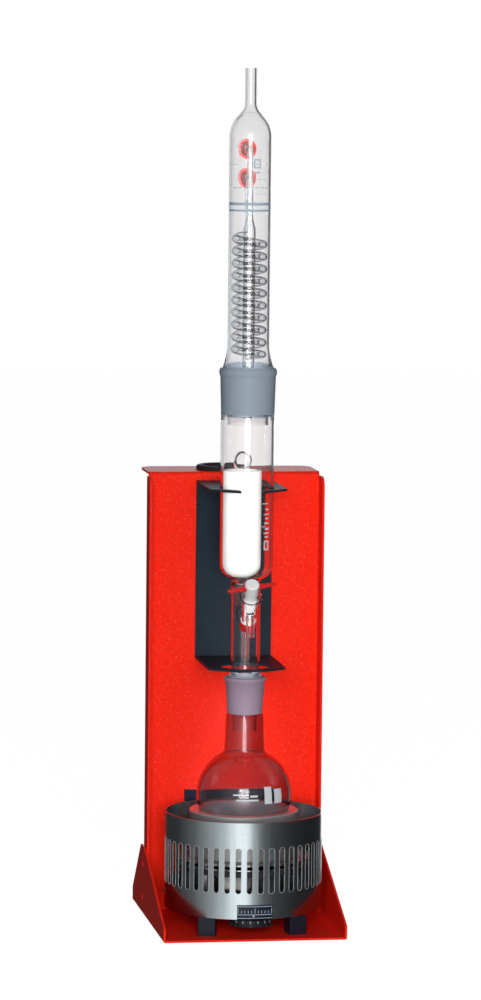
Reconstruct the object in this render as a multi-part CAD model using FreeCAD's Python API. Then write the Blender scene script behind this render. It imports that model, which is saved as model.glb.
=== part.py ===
import FreeCAD, Part
import math
import os

# Compact one-place Soxhlet extraction unit, in millimetres.
# A folded red stand carries a round heater and a black glass holder. The glass stands on the heater:
# round-bottom flask, extractor with a drain stopcock and a paper thimble, and a coil condenser.
# Origin: under the glass axis, on the underside of the base tray. X right, Y to the rear, Z up.

# Sheet metal stand
sheet = 2.0
bend_radius = 4.0
tray_width = 164.0
tray_front = 75.5
wing_front_height = 12.5
wing_top_height = 61.8
wing_rear_height = 13.2
wing_top_ahead = 16.5
wing_top_behind = 5.5
stand_depth = 59.5
panel_gap = 3.0
panel_fit = 0.25
lip_depth = 20.0
lip_corner = 10.0
lip_drop = 3.6
fold_share = 0.9
top_depth = 60.0
top_corner = 12.0
top_inset = 1.6
panel_above_holder = 7.4
rivet_ahead = 10.0
rivet_low = 16.3
rivet_high = 46.3
rivet_head_radius = 3.6
rivet_head_height = 1.3
rivet_radius = 1.6
set_head_share = 1.6

# Black holder
holder_width = 69.5
holder_reach = 82.0
upper_nose_ahead = 22.5
upper_nose_half = 10.0
lower_nose_ahead = 17.0
lower_nose_half = 13.0
holder_hole_gap = 1.1
rear_notch_width = 24.0
lower_hole_gap = 3.4
stud_radius = 2.5
stud_length = 9.0
stud_spacing_x = 44.0
stud_spacing_z = 110.0
stud_hole_gap = 0.3
washer_radius = 5.0
washer_thickness = 1.0
nut_across_flats = 8.0
nut_height = 4.0
screw_fit = 0.08

# Hose grommet in the stand's top
grommet_radius = 25.2
grommet_bore = 18.5
grommet_rise = 4.2
grommet_neck = 21.0
grommet_lip = 2.5
grommet_round = 1.9
grommet_fit = 0.1
grommet_x = -5.5
grommet_behind_panel = 27.3

# Heater
foot_size = 15.8
foot_height = 16.5
foot_x = 39.5
foot_y = 50.0
foot_turn = 12.0
foot_screw_radius = 2.0
foot_screw_head = 3.8
foot_screw_depth = 9.1
foot_hole_depth = 9.9
foot_round = 1.0
shell_radius = 70.3
shell_height = 85.9
shell_wall = 1.1
slot_count = 44
slot_width = 4.9
slot_low = 22.9
slot_height = 40.2
scale_width = 31.6
scale_height = 13.1
scale_plate_wall = 0.8
scale_plate_margin = 3.0
scale_plate_gap = 0.1
scale_plate_rise = 0.2
base_gap = 1.5
tab_width = 12.0
tab_height = 24.0
tab_gap = 0.55
tab_root = 8.0
shell_screw_height = 15.5
shell_screw_radius = 1.9
shell_screw_head = 3.0
shell_screw_dome = 1.8
post_count = 3
post_circle = 42.0
post_radius = 5.0
post_pin_radius = 2.5
post_pin_depth = 7.0
post_height = 33.2
insulator_radius = 58.0
insulator_height = 4.8
shield_radius = 60.0
shield_thickness = 1.0
shield_spacing = 3.2
spacer_radius = 4.2
bowl_radius = 49.0
bowl_height = 41.4
bowl_edge = 1.5
element_circle = 30.0
element_radius = 3.4
element_groove_gap = 0.3
element_lift = 0.3
element_leg_drop = 9.0
leg_gap = 0.25
element_turn = 23.6
terminal_width = 26.0
terminal_depth = 13.0
terminal_height = 15.5
terminal_round = 1.2
regulator_width = 30.0
regulator_depth = 24.0
regulator_height = 16.0
regulator_ahead = 47.0
regulator_round = 2.0
shaft_radius = 3.0
shaft_length = 14.0
shaft_hole_gap = 0.5
shaft_press = 0.02
running_gap = 0.06
dial_radius = 19.5
dial_height = 7.0
dial_below_base = 1.5
dial_flute_count = 20
dial_flute_radius = 1.1
dial_round = 0.8
box_width = 86.0
box_ahead = 1.2
box_depth = 46.0
box_low = 22.0
box_top = 112.0
box_edge = 2.5
window_gap = 0.3
link_radius = 6.0
link_height = 30.0
collar_width = 2.0
collar_gap = 1.1
collar_thickness = 1.5
link_wall = 2.0
inlet_width = 27.0
inlet_height = 20.0
inlet_depth = 18.0
inlet_flange = 3.0
inlet_wall = 2.5
inlet_pin_radius = 1.5
inlet_z = 52.0
inlet_plate = 1.6
inlet_fit = 0.2
inlet_corner = 3.0
inlet_spread = 7.0
inlet_earth_up = 1.8
inlet_pins_down = 1.5
pin_width = 1.8
pin_short = 3.0

# Round-bottom flask and its ground socket
flask_radius = 42.5
flask_wall = 1.8
flask_seat_gap = 0.3
flask_above_bowl = 13.1
neck_radius = 17.2
neck_top_rise = 106.2
joint_small_top = 14.6
joint_small_length = 32.0
joint_taper = 0.05
joint_gap = 0.03
bead_small_radius = 19.1
bead_small_height = 3.4

# Extractor
glass_turn = 3.7
drip_radius = 10.8
drip_length = 16.4
tube_wall = 1.6
lower_radius = 13.1
lower_length = 86.6
chamber_radius = 23.9
chamber_wall = 2.0
chamber_corner = 15.0
chamber_height = 189.3
joint_large_top = 22.5
joint_large_length = 40.0
socket_wall = 2.2
bead_large_radius = 25.7
bead_large_height = 7.1
arm_radius = 8.0
arm_wall = 1.4
arm_reach = 42.0
arm_bend = 14.0
arm_low = 34.0
arm_high = 103.2
arm_inset = 4.0
arm_turn = 4.0
siphon_radius = 3.25
siphon_bore = 1.9
siphon_circle = 28.4
siphon_angle = 5.5
siphon_spread = 19.2
siphon_low = 8.0
siphon_crest = 74.0
siphon_entry = 46.0
siphon_bend = 7.0
siphon_end = 78.0
siphon_inset = 7.0
holder_above_floor = 80.6
holder_below_floor = 79.3

# Stopcock on the front of the extractor
cock_tilt = 44.0
cock_ahead = 37.0
cock_below_floor = 23.0
barrel_low = 15.0
barrel_high = 13.0
barrel_small_bore = 4.1
barrel_taper = 0.05
barrel_wall = 2.2
barrel_flare = 10.7
barrel_flare_height = 4.5
plug_gap = 0.05
plug_shoulder = 0.6
plug_head_radius = 6.25
plug_head_low = 19.5
plug_head_high = 34.0
plug_neck_radius = 5.0
plug_tail_radius = 3.0
plug_tail = 28.0
plug_port_radius = 1.5
handle_height = 29.0
handle_length = 44.5
handle_radius = 2.6
handle_tip_radius = 1.5
handle_turn = 11.6
handle_gap = 0.05
cock_washer_radius = 6.8
cock_washer_thickness = 1.2
cock_ring_radius = 5.2
cock_ring_thickness = 1.8
cock_ring_round = 0.5
cock_nut_radius = 7.2
cock_nut_height = 8.0
cock_nut_flutes = 12
cock_nut_flute_radius = 0.8
cock_nut_round = 0.6
drain_radius = 4.4
drain_bore = 2.2
drain_length = 36.0
outlet_radius = 3.9
outlet_bore = 2.3
outlet_ahead = 7.6
outlet_drop = 25.0

# Extraction thimble
thimble_radius = 17.1
thimble_wall = 1.3
thimble_height = 96.0
thimble_corner = 13.4
thimble_shift = 4.2
thimble_rest_gap = 0.3

# Coil condenser
condenser_turn = 2.2
jacket_radius = 18.7
jacket_wall = 1.8
condenser_tip = 10.0
condenser_tip_radius = 18.4
flare_height = 20.4
shoulder_height = 205.7
crown_height = 29.0
vent_radius = 5.2
vent_wall = 1.5
vent_length = 30.4
coil_radius = 12.2
coil_tube_radius = 3.8
coil_bore = 2.7
elbow_swell = 0.15
coil_pitch = 10.85
coil_turns = 10
coil_low = 9.0
core_radius = 5.5
core_wall = 1.2
core_low = 1.0
core_high = 124.0
feed_radius = 2.8
feed_bore = 1.8
feed_flare = 12.0
port_below_shoulder = 12.4
port_spacing = 25.9
port_radius = 6.0
port_bore = 3.6
port_reach = 34.0
cap_radius = 8.95
cap_height = 15.0
cap_hole_radius = 5.2
cap_top = 2.2
cap_ribs = 16
cap_rib_radius = 0.8
seal_thickness = 2.0
nozzle_flange_radius = 6.4
nozzle_flange = 2.0
nozzle_radius = 4.2
nozzle_bore = 2.4
nozzle_length = 30.0
nozzle_barb = 0.9
nozzle_barb_pitch = 6.0
nozzle_barbs = 3
barb_rise = 0.6
barb_root = 0.4
cap_gap = 0.15

# Levels that follow from the sizes above
shell_bottom = sheet + foot_height
base_top = shell_bottom + sheet
shell_top = shell_bottom + shell_height
insulator_bottom = base_top + post_height
insulator_top = insulator_bottom + insulator_height
lower_shield_bottom = insulator_top + shield_thickness
upper_shield_bottom = lower_shield_bottom + shield_thickness + shield_spacing
bowl_bottom = upper_shield_bottom + shield_thickness
bowl_top = bowl_bottom + bowl_height
flask_centre = bowl_top + flask_above_bowl
neck_top = flask_centre + neck_top_rise
chamber_floor = neck_top + lower_length + chamber_wall
chamber_bottom = chamber_floor - chamber_wall
extractor_top = chamber_bottom + chamber_height
jacket_top = shoulder_height + crown_height
vent_top = extractor_top + jacket_top + vent_length
port_high = shoulder_height - port_below_shoulder
port_low = port_high - port_spacing
holder_top = chamber_floor + holder_above_floor
holder_bottom = chamber_floor - holder_below_floor - sheet
panel_face = shell_radius + panel_gap
panel_back = panel_face + sheet
panel_top = holder_top + panel_above_holder
panel_half = tray_width / 2 - sheet - panel_fit
tray_rear = panel_face + stand_depth
holder_face = panel_face - sheet

# Share of a radius at the middle of a quarter arc
SLANT = math.sqrt(0.5)

V = FreeCAD.Vector
ORIGIN = V(0, 0, 0)
UP = V(0, 0, 1)
RIGHT = V(1, 0, 0)
BACK = V(0, 1, 0)


def block(x0, x1, y0, y1, z0, z1):
    return Part.makeBox(x1 - x0, y1 - y0, z1 - z0, V(x0, y0, z0))


def cylinder(radius, z0, z1, x=0.0, y=0.0):
    return Part.makeCylinder(radius, z1 - z0, V(x, y, z0))


def rod(start, end, radius):
    axis = end - start
    return Part.makeCylinder(radius, axis.Length, start, axis)


def cone_rod(start, end, radius_start, radius_end):
    axis = end - start
    return Part.makeCone(radius_start, radius_end, axis.Length, start, axis)


def joined(shapes):
    first = shapes[0]
    if len(shapes) == 1:
        return first
    return first.fuse(shapes[1:]).removeSplitter()


def polygon(points):
    return Part.Face(Part.makePolygon(points + [points[0]]))


def outline(start, steps):
    # Closed face from a start point; a step is the end of a line, or the middle and end of an arc.
    edges = []
    here = start
    for step in steps + [start]:
        if isinstance(step, tuple):
            middle, there = step
            edges.append(Part.Arc(here, middle, there).toShape())
        else:
            there = step
            edges.append(Part.LineSegment(here, there).toShape())
        here = there
    return Part.Face(Part.Wire(edges))


def lathe(start, steps):
    # Turned solid about Z from a profile in the XZ plane.
    return outline(start, steps).revolve(ORIGIN, UP, 360)


def at(radius, height):
    return V(radius, 0, height)


def bend_path(points, radius):
    # Straight runs joined by tangent arcs of one radius.
    edges = []
    here = points[0]
    for before, corner, after in zip(points, points[1:], points[2:]):
        inward = (before - corner).normalize()
        outward = (after - corner).normalize()
        half = inward.getAngle(outward) / 2
        back_off = radius / math.tan(half)
        arc_start = corner + inward * back_off
        arc_end = corner + outward * back_off
        middle_way = (inward + outward).normalize()
        middle = corner + middle_way * (radius / math.sin(half) - radius)
        if (arc_start - here).Length > 0.001:
            edges.append(Part.LineSegment(here, arc_start).toShape())
        edges.append(Part.Arc(arc_start, middle, arc_end).toShape())
        here = arc_end
    edges.append(Part.LineSegment(here, points[-1]).toShape())
    return Part.Wire(edges)


def pipe(points, bend, radius):
    # Round bar along a bent path.
    path = bend_path(points, bend)
    direction = points[1] - points[0]
    ring = Part.Wire(Part.Circle(points[0], direction, radius).toShape())
    return path.makePipeShell([ring], True, False)


def turned(shape, angle=glass_turn):
    # Turned clockwise about the glass axis, seen from above.
    copy = shape.copy()
    copy.rotate(ORIGIN, UP, -angle)
    return copy


def ring_of(shape, count, centre=ORIGIN, axis=UP):
    # Copies of a shape spread evenly about an axis.
    copies = []
    for index in range(count):
        copy = shape.copy()
        copy.rotate(centre, axis, 360.0 * index / count)
        copies.append(copy)
    return copies


def hexagon(centre, axis, across_flats, height):
    # Hexagonal prism along Y or another axis.
    radius = across_flats / math.sqrt(3)
    corners = []
    for index in range(6):
        angle = math.radians(60 * index)
        corners.append(V(radius * math.cos(angle), radius * math.sin(angle), 0))
    prism = polygon(corners).extrude(V(0, 0, height))
    prism.Placement = FreeCAD.Placement(centre, FreeCAD.Rotation(UP, axis))
    return prism


def back_panel():
    # One folded sheet: face with two side lips to the front and a top that folds to the rear.
    face = block(-panel_half, panel_half, panel_face, panel_back, sheet, panel_top - bend_radius)
    top_half = panel_half - top_inset
    crown_start = V(-top_half, panel_face, panel_top - bend_radius - lip_drop)
    inner_bend = bend_radius - sheet
    centre_y = panel_face + bend_radius
    centre_z = panel_top - bend_radius
    crown = outline(crown_start, [
        V(-top_half, panel_face, centre_z),
        (V(-top_half, centre_y - bend_radius * SLANT, centre_z + bend_radius * SLANT),
         V(-top_half, centre_y, panel_top)),
        V(-top_half, panel_face + top_depth, panel_top),
        V(-top_half, panel_face + top_depth, panel_top - sheet),
        V(-top_half, centre_y, panel_top - sheet),
        (V(-top_half, centre_y - inner_bend * SLANT, centre_z + inner_bend * SLANT),
         V(-top_half, panel_back, centre_z)),
        V(-top_half, panel_back, crown_start.z),
    ]).extrude(V(2 * top_half, 0, 0))
    rear_edges = [edge for edge in crown.Edges
                  if abs(edge.BoundBox.YMin - panel_face - top_depth) < 0.01
                  and edge.BoundBox.ZLength > sheet / 2 and edge.BoundBox.XLength < 0.01]
    crown = crown.makeFillet(top_corner, rear_edges)
    notch = 2 * panel_half
    notch_low = panel_top - lip_drop - bend_radius
    for side in (-1, 1):
        cut = block(0, notch, panel_face - 1, panel_back + 1, notch_low, panel_top + 1)
        cut.translate(V(top_half if side > 0 else -top_half - notch, 0, 0))
        face = face.cut(cut)
    shapes = [face, crown]
    lip_top = panel_top - lip_drop
    corner_cut = lip_corner * (1 - SLANT)
    for side in (-1, 1):
        profile = outline(V(0, panel_back, sheet), [
            V(0, panel_face - lip_depth, sheet),
            V(0, panel_face - lip_depth, lip_top - lip_corner),
            (V(0, panel_face - lip_depth + corner_cut, lip_top - corner_cut),
             V(0, panel_face - lip_depth + lip_corner, lip_top)),
            V(0, panel_back, lip_top),
        ])
        lip = profile.extrude(V(sheet, 0, 0))
        lip.translate(V(panel_half - sheet if side > 0 else -panel_half, 0, 0))
        rear_corner = [edge for edge in lip.Edges
                       if edge.BoundBox.ZLength > lip_depth and edge.BoundBox.YMin > panel_face
                       and abs(abs(edge.BoundBox.XMin) - panel_half) < 0.01]
        lip = lip.makeFillet(sheet * fold_share, rear_corner)
        shapes.append(lip)
    trim = [block(-panel_half - 1, -panel_half + sheet, panel_face, panel_back + 1, 0, panel_top),
            block(panel_half - sheet, panel_half + 1, panel_face, panel_back + 1, 0, panel_top)]
    for cut in trim:
        shapes[0] = shapes[0].cut(cut)
    panel = joined(shapes)
    window = box_width / 2 + window_gap
    panel = panel.cut(block(-window, window, panel_face - 1, panel_back + 1,
                            box_low - window_gap, box_top + window_gap))
    for centre in stud_centres():
        panel = panel.cut(rod(centre - BACK, centre + BACK * (2 * sheet), stud_radius + stud_hole_gap))
    for centre in rivet_centres():
        panel = panel.cut(rod(centre - RIGHT * 3 * sheet, centre + RIGHT * 3 * sheet, rivet_radius))
    hole = cylinder(grommet_neck, panel_top - 3 * sheet, panel_top + sheet, grommet_x, grommet_y())
    return panel.cut(hole)


def base_tray():
    # One folded sheet: floor with two low sides that rise to gussets beside the panel.
    half = tray_width / 2
    floor = block(-half, half, -tray_front, tray_rear, 0, sheet)
    wings = []
    for side in (-1, 1):
        profile = polygon([
            V(0, -tray_front, 0),
            V(0, -tray_front, wing_front_height),
            V(0, panel_face - wing_top_ahead, wing_top_height),
            V(0, panel_face + wing_top_behind, wing_top_height),
            V(0, tray_rear, wing_rear_height),
            V(0, tray_rear, 0),
        ])
        wing = profile.extrude(V(sheet, 0, 0))
        wing.translate(V(half - sheet if side > 0 else -half, 0, 0))
        lower_edge = [edge for edge in wing.Edges
                      if edge.BoundBox.YLength > stand_depth and edge.BoundBox.ZMax < 0.01
                      and abs(abs(edge.BoundBox.XMin) - half) < 0.01]
        wings.append(wing.makeFillet(sheet * fold_share, lower_edge))
    floor = floor.cut(block(-half - 1, -half + sheet, -tray_front - 1, tray_rear + 1, -1, sheet + 1))
    floor = floor.cut(block(half - sheet, half + 1, -tray_front - 1, tray_rear + 1, -1, sheet + 1))
    tray = joined([floor] + wings)
    for centre in rivet_centres():
        tray = tray.cut(rod(centre - RIGHT * 3 * sheet, centre + RIGHT * 3 * sheet, rivet_radius))
    return tray


def rivet_centres():
    # Centres on the outer faces of the gussets.
    centres = []
    for side in (-1, 1):
        for height in (rivet_low, rivet_high):
            centres.append(V(side * tray_width / 2, panel_face - rivet_ahead, height))
    return centres


def gusset_rivets():
    # Domed heads outside, shanks through gusset and lip, small set heads inside.
    rivets = []
    for centre in rivet_centres():
        side = 1 if centre.x > 0 else -1
        outward = RIGHT * side
        ball = (rivet_head_radius ** 2 + rivet_head_height ** 2) / (2 * rivet_head_height)
        dome = Part.makeSphere(ball, centre + outward * (rivet_head_height - ball))
        slab = Part.makeCylinder(rivet_head_radius + 1, rivet_head_height, centre, outward)
        inner = centre - outward * (2 * sheet + panel_fit)
        set_head = Part.makeCylinder(rivet_radius * set_head_share, rivet_radius, inner, outward * -1)
        shank = rod(centre, inner, rivet_radius)
        rivets.append(joined([dome.common(slab), shank, set_head]))
    return Part.makeCompound(rivets)


def stud_centres():
    # Centres on the rear face of the holder's plate.
    middle = (holder_top + holder_bottom) / 2
    centres = []
    for x in (-stud_spacing_x / 2, stud_spacing_x / 2):
        for z in (-stud_spacing_z / 2, stud_spacing_z / 2):
            centres.append(V(x, panel_face, middle + z))
    return centres


def flange(level, nose_ahead, nose_half):
    # Shelf with straight sides and a nose that narrows to the front.
    half = holder_width / 2
    side_end = holder_face - holder_reach
    face = polygon([
        V(-half, panel_face, level),
        V(-half, side_end, level),
        V(-nose_half, side_end - nose_ahead, level),
        V(nose_half, side_end - nose_ahead, level),
        V(half, side_end, level),
        V(half, panel_face, level),
    ])
    return face.extrude(V(0, 0, sheet))


def holder_bracket():
    # One folded sheet: plate on the panel with an upper and a lower shelf, and four welded studs.
    half = holder_width / 2
    plate = block(-half, half, holder_face, panel_face, holder_bottom, holder_top)
    upper = flange(holder_top - sheet, upper_nose_ahead, upper_nose_half)
    lower = flange(holder_bottom, lower_nose_ahead, lower_nose_half)
    body = joined([plate, upper, lower])
    fold_edges = [edge for edge in body.Edges
                  if edge.BoundBox.XLength > holder_width - 1 and edge.BoundBox.YMin > panel_face - 0.01]
    body = body.makeFillet(sheet * fold_share, fold_edges)
    upper_hole = chamber_radius + holder_hole_gap
    nose = holder_face - holder_reach - upper_nose_ahead - 1
    below = holder_top - 2 * sheet
    above = holder_top + sheet
    body = body.cut(cylinder(upper_hole, below, above))
    body = body.cut(block(-upper_nose_half, upper_nose_half, nose, 0, below, above))
    notch = rear_notch_width / 2
    notch_end = arm_reach + arm_radius + holder_hole_gap
    body = body.cut(block(-notch, notch, 0, notch_end, below, above))
    lower_hole = bead_small_radius + lower_hole_gap
    body = body.cut(cylinder(lower_hole, holder_bottom - sheet, holder_bottom + 2 * sheet))
    studs = [rod(centre, centre + BACK * stud_length, stud_radius) for centre in stud_centres()]
    return joined([body] + studs)


def holder_washers():
    washers = []
    for centre in stud_centres():
        start = centre + BACK * sheet
        disc = rod(start, start + BACK * washer_thickness, washer_radius)
        washers.append(disc.cut(rod(start - BACK, start + BACK * 3, stud_radius + screw_fit)))
    return Part.makeCompound(washers)


def holder_nuts():
    nuts = []
    for centre in stud_centres():
        start = centre + BACK * (sheet + washer_thickness)
        nut = hexagon(start, BACK, nut_across_flats, nut_height)
        nuts.append(nut.cut(rod(start - BACK, start + BACK * (nut_height + 1), stud_radius + screw_fit)))
    return Part.makeCompound(nuts)


def grommet_y():
    return panel_face + grommet_behind_panel


def hose_grommet():
    # Turned rubber ring snapped into the hole of the stand's top.
    below = panel_top - sheet
    top = panel_top + grommet_rise
    neck = grommet_neck - grommet_fit
    corner_cut = grommet_round * (1 - SLANT)
    lower_lip = grommet_neck + grommet_lip
    ring = lathe(at(grommet_bore, below - grommet_lip), [
        at(lower_lip, below - grommet_lip),
        at(lower_lip, below),
        at(neck, below),
        at(neck, panel_top),
        at(grommet_radius, panel_top),
        at(grommet_radius, top - grommet_round),
        (at(grommet_radius - corner_cut, top - corner_cut), at(grommet_radius - grommet_round, top)),
        at(grommet_bore + grommet_round, top),
        (at(grommet_bore + corner_cut, top - corner_cut), at(grommet_bore, top - grommet_round)),
    ])
    ring.translate(V(grommet_x, grommet_y(), 0))
    return ring


def heater_shell():
    # Rolled steel jacket with a ring of cooling slots and a cut-out for the power scale.
    inner = shell_radius - shell_wall
    shell = cylinder(shell_radius, shell_bottom, shell_top)
    shell = shell.cut(cylinder(inner, shell_bottom - 1, shell_top + 1))
    end = slot_width / 2
    slot_z = shell_bottom + slot_low + end
    slot_end = slot_z + slot_height - slot_width
    slot = block(-end, end, -shell_radius - 1, -inner + 1, slot_z, slot_end)
    for level in (slot_z, slot_end):
        slot = slot.fuse(rod(V(0, -shell_radius - 1, level), V(0, -inner + 1, level), end))
    slot.rotate(ORIGIN, UP, 180.0 / slot_count)
    shell = shell.cut(ring_of(slot, slot_count))
    half = scale_width / 2
    scale_top = shell_bottom + scale_height
    shell = shell.cut(block(-half, half, -shell_radius - 1, -inner + 3, shell_bottom - 1, scale_top))
    link_z = shell_bottom + link_height
    link_hole = rod(V(0, inner - 3, link_z), V(0, shell_radius + 2, link_z), link_radius + window_gap)
    shell = shell.cut(link_hole)
    height = shell_bottom + shell_screw_height
    for side in (-1, 1):
        start = RIGHT * (side * (inner - 2)) + UP * height
        through = start + RIGHT * (side * (shell_wall + 4))
        shell = shell.cut(rod(start, through, shell_screw_radius + screw_fit))
    return shell


def heater_base():
    # Sheet disc with two upturned tabs that the shell is screwed to.
    radius = shell_radius - shell_wall - base_gap
    disc = cylinder(radius, shell_bottom, base_top)
    tab_face = shell_radius - shell_wall - tab_gap
    for side in (-1, 1):
        tab = block(0, sheet, -tab_width / 2, tab_width / 2, shell_bottom, shell_bottom + tab_height)
        foot = block(0, tab_root, -tab_width / 2, tab_width / 2, shell_bottom, base_top)
        tab.translate(V(tab_face - sheet if side > 0 else -tab_face, 0, 0))
        foot.translate(V(tab_face - tab_root if side > 0 else -tab_face, 0, 0))
        disc = joined([disc, tab, foot])
        start = RIGHT * (side * (tab_face - 2 * sheet)) + UP * (shell_bottom + shell_screw_height)
        disc = disc.cut(rod(start, start + RIGHT * (side * 4 * sheet), shell_screw_radius + screw_fit))
    hole = cylinder(shaft_radius + shaft_hole_gap, shell_bottom - 1, base_top + 1, 0, -regulator_ahead)
    disc = disc.cut(hole)
    for x, y in foot_places():
        disc = disc.cut(cylinder(foot_screw_radius + screw_fit, shell_bottom - 1, base_top + 1, x, y))
    return disc


def foot_places():
    return [(x, y) for x in (-foot_x, foot_x) for y in (-foot_y, foot_y)]


def heater_feet():
    # Square blocks, each turned a little to face outward.
    feet = []
    half = foot_size / 2
    for x, y in foot_places():
        foot = block(-half, half, -half, half, sheet, shell_bottom)
        upright = [edge for edge in foot.Edges if edge.BoundBox.ZLength > foot_height - 0.01]
        foot = foot.makeFillet(foot_round, upright)
        hole_end = shell_bottom - foot_hole_depth
        foot = foot.cut(cylinder(foot_screw_radius + screw_fit, hole_end, shell_bottom + 1))
        foot.rotate(ORIGIN, UP, foot_turn if x * y < 0 else -foot_turn)
        foot.translate(V(x, y, 0))
        feet.append(foot)
    return Part.makeCompound(feet)


def foot_screws():
    screws = []
    for x, y in foot_places():
        shank = cylinder(foot_screw_radius, shell_bottom - foot_screw_depth, base_top, x, y)
        crown = foot_screw_head / 2
        head = Part.makeCone(foot_screw_head, crown, crown, V(x, y, base_top))
        screws.append(joined([shank, head]))
    return Part.makeCompound(screws)


def shell_screws():
    # Domed screws through the shell into the base tabs, left and right.
    screws = []
    height = shell_bottom + shell_screw_height
    for side in (-1, 1):
        outward = RIGHT * side
        seat = outward * shell_radius + UP * height
        ball = (shell_screw_head ** 2 + shell_screw_dome ** 2) / (2 * shell_screw_dome)
        dome = Part.makeSphere(ball, seat + outward * (shell_screw_dome - ball))
        slab = Part.makeCylinder(shell_screw_head + 1, shell_screw_dome, seat, outward)
        shank = rod(seat, seat - outward * (shell_wall + 2 * sheet), shell_screw_radius)
        screws.append(joined([dome.common(slab), shank]))
    return Part.makeCompound(screws)


def post_places():
    places = []
    for index in range(post_count):
        angle = math.radians(90 + 360.0 * index / post_count)
        places.append(V(post_circle * math.cos(angle), post_circle * math.sin(angle), 0))
    return places


def support_posts():
    # Stepped posts: thick below the insulating plate, thin through the plates into the bowl.
    posts = []
    for place in post_places():
        thick = cylinder(post_radius, base_top, insulator_bottom, place.x, place.y)
        pin = cylinder(post_pin_radius, insulator_bottom, bowl_bottom + post_pin_depth, place.x, place.y)
        posts.append(joined([thick, pin]))
    return Part.makeCompound(posts)


def plate_on_posts(radius, bottom, top):
    plate = cylinder(radius, bottom, top)
    for place in post_places():
        plate = plate.cut(cylinder(post_pin_radius + screw_fit, bottom - 1, top + 1, place.x, place.y))
    for x in (-element_leg_x(), element_leg_x()):
        hole = cylinder(element_radius + 4 * leg_gap, bottom - 1, top + 1, x, -element_leg_y())
        plate = plate.cut(turned(hole, element_turn))
    return plate


def element_leg_x():
    return element_radius * 2.2


def element_leg_y():
    return math.sqrt(element_circle ** 2 - element_leg_x() ** 2)


def insulating_plate():
    return plate_on_posts(insulator_radius, insulator_bottom, insulator_top)


def heat_shields():
    lower = plate_on_posts(shield_radius, lower_shield_bottom, lower_shield_bottom + shield_thickness)
    upper = plate_on_posts(shield_radius, upper_shield_bottom, bowl_bottom)
    return Part.makeCompound([lower, upper])


def shield_spacers():
    # Short tubes on the post pins between the plates.
    spacers = []
    lower_shield_top = lower_shield_bottom + shield_thickness
    gaps = ((insulator_top, lower_shield_bottom), (lower_shield_top, upper_shield_bottom))
    for place in post_places():
        for bottom, top in gaps:
            tube = cylinder(spacer_radius, bottom, top, place.x, place.y)
            bore = cylinder(post_pin_radius + screw_fit, bottom - 1, top + 1, place.x, place.y)
            spacers.append(tube.cut(bore))
    return Part.makeCompound(spacers)


def heater_bowl():
    # Turned aluminium bowl with a spherical seat for the flask and a groove below for the element.
    seat = flask_radius + flask_seat_gap
    corner_cut = bowl_edge * (1 - SLANT)
    bowl = lathe(at(0, bowl_bottom), [
        at(bowl_radius - bowl_edge, bowl_bottom),
        at(bowl_radius, bowl_bottom + bowl_edge),
        at(bowl_radius, bowl_top - bowl_edge),
        (at(bowl_radius - corner_cut, bowl_top - corner_cut), at(bowl_radius - bowl_edge, bowl_top)),
        at(0, bowl_top),
    ])
    cavity = Part.makeSphere(seat, V(0, 0, flask_centre))
    floor_cut = cylinder(seat * 0.3, flask_centre - seat - 0.4, flask_centre - seat + 4)
    groove = cylinder(element_circle + element_radius + element_groove_gap, bowl_bottom - 1, element_top())
    groove = groove.cut(cylinder(element_circle - element_radius - element_groove_gap, bowl_bottom - 2,
                                 element_top() + 1))
    bowl = bowl.cut([cavity, floor_cut, groove])
    for place in post_places():
        hole = cylinder(post_pin_radius + screw_fit, bowl_bottom - 1, bowl_bottom + post_pin_depth + 0.5,
                        place.x, place.y)
        bowl = bowl.cut(hole)
    return bowl


def element_top():
    return bowl_bottom + 2 * element_radius + element_groove_gap + element_lift


def heating_element():
    # Tubular ring under the bowl, open at the front, with two legs down to the terminal block.
    level = bowl_bottom + element_radius + element_lift
    gap_angle = math.degrees(math.asin(element_leg_x() / element_circle))
    ring = Part.makeTorus(element_circle, element_radius, V(0, 0, level), UP, 0, 360, 360 - 2 * gap_angle)
    ring.rotate(ORIGIN, UP, -90 + gap_angle)
    legs = []
    for x in (-element_leg_x(), element_leg_x()):
        foot = insulator_bottom - element_leg_drop
        leg = cylinder(element_radius, foot, level, x, -element_leg_y())
        legs.append(leg)
        legs.append(Part.makeSphere(element_radius, V(x, -element_leg_y(), level)))
    return turned(joined([ring] + legs), element_turn)


def terminal_block():
    # Ceramic block below the insulating plate that takes the element's legs.
    half = terminal_width / 2
    front = -element_leg_y() - terminal_depth / 2
    top = insulator_bottom
    body = block(-half, half, front, front + terminal_depth, top - terminal_height, top)
    edges = [edge for edge in body.Edges if edge.BoundBox.ZLength < 0.01 and edge.BoundBox.ZMax < top - 1]
    body = body.makeFillet(terminal_round, edges)
    hole_low = top - element_leg_drop - leg_gap
    for x in (-element_leg_x(), element_leg_x()):
        hole = cylinder(element_radius + leg_gap, hole_low, top + 1, x, -element_leg_y())
        body = body.cut(hole)
    return turned(body, element_turn)


def power_regulator():
    # Closed switch block on the base with a shaft down through the base to the dial.
    half = regulator_width / 2
    y = -regulator_ahead
    body = block(-half, half, y - regulator_depth / 2, y + regulator_depth / 2,
                 base_top, base_top + regulator_height)
    upright = [edge for edge in body.Edges if edge.BoundBox.ZLength > regulator_height - 0.01]
    body = body.makeFillet(regulator_round, upright)
    return body.cut(cylinder(shaft_radius + running_gap, base_top - 1, base_top + shaft_length * 0.6, 0, y))


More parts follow.
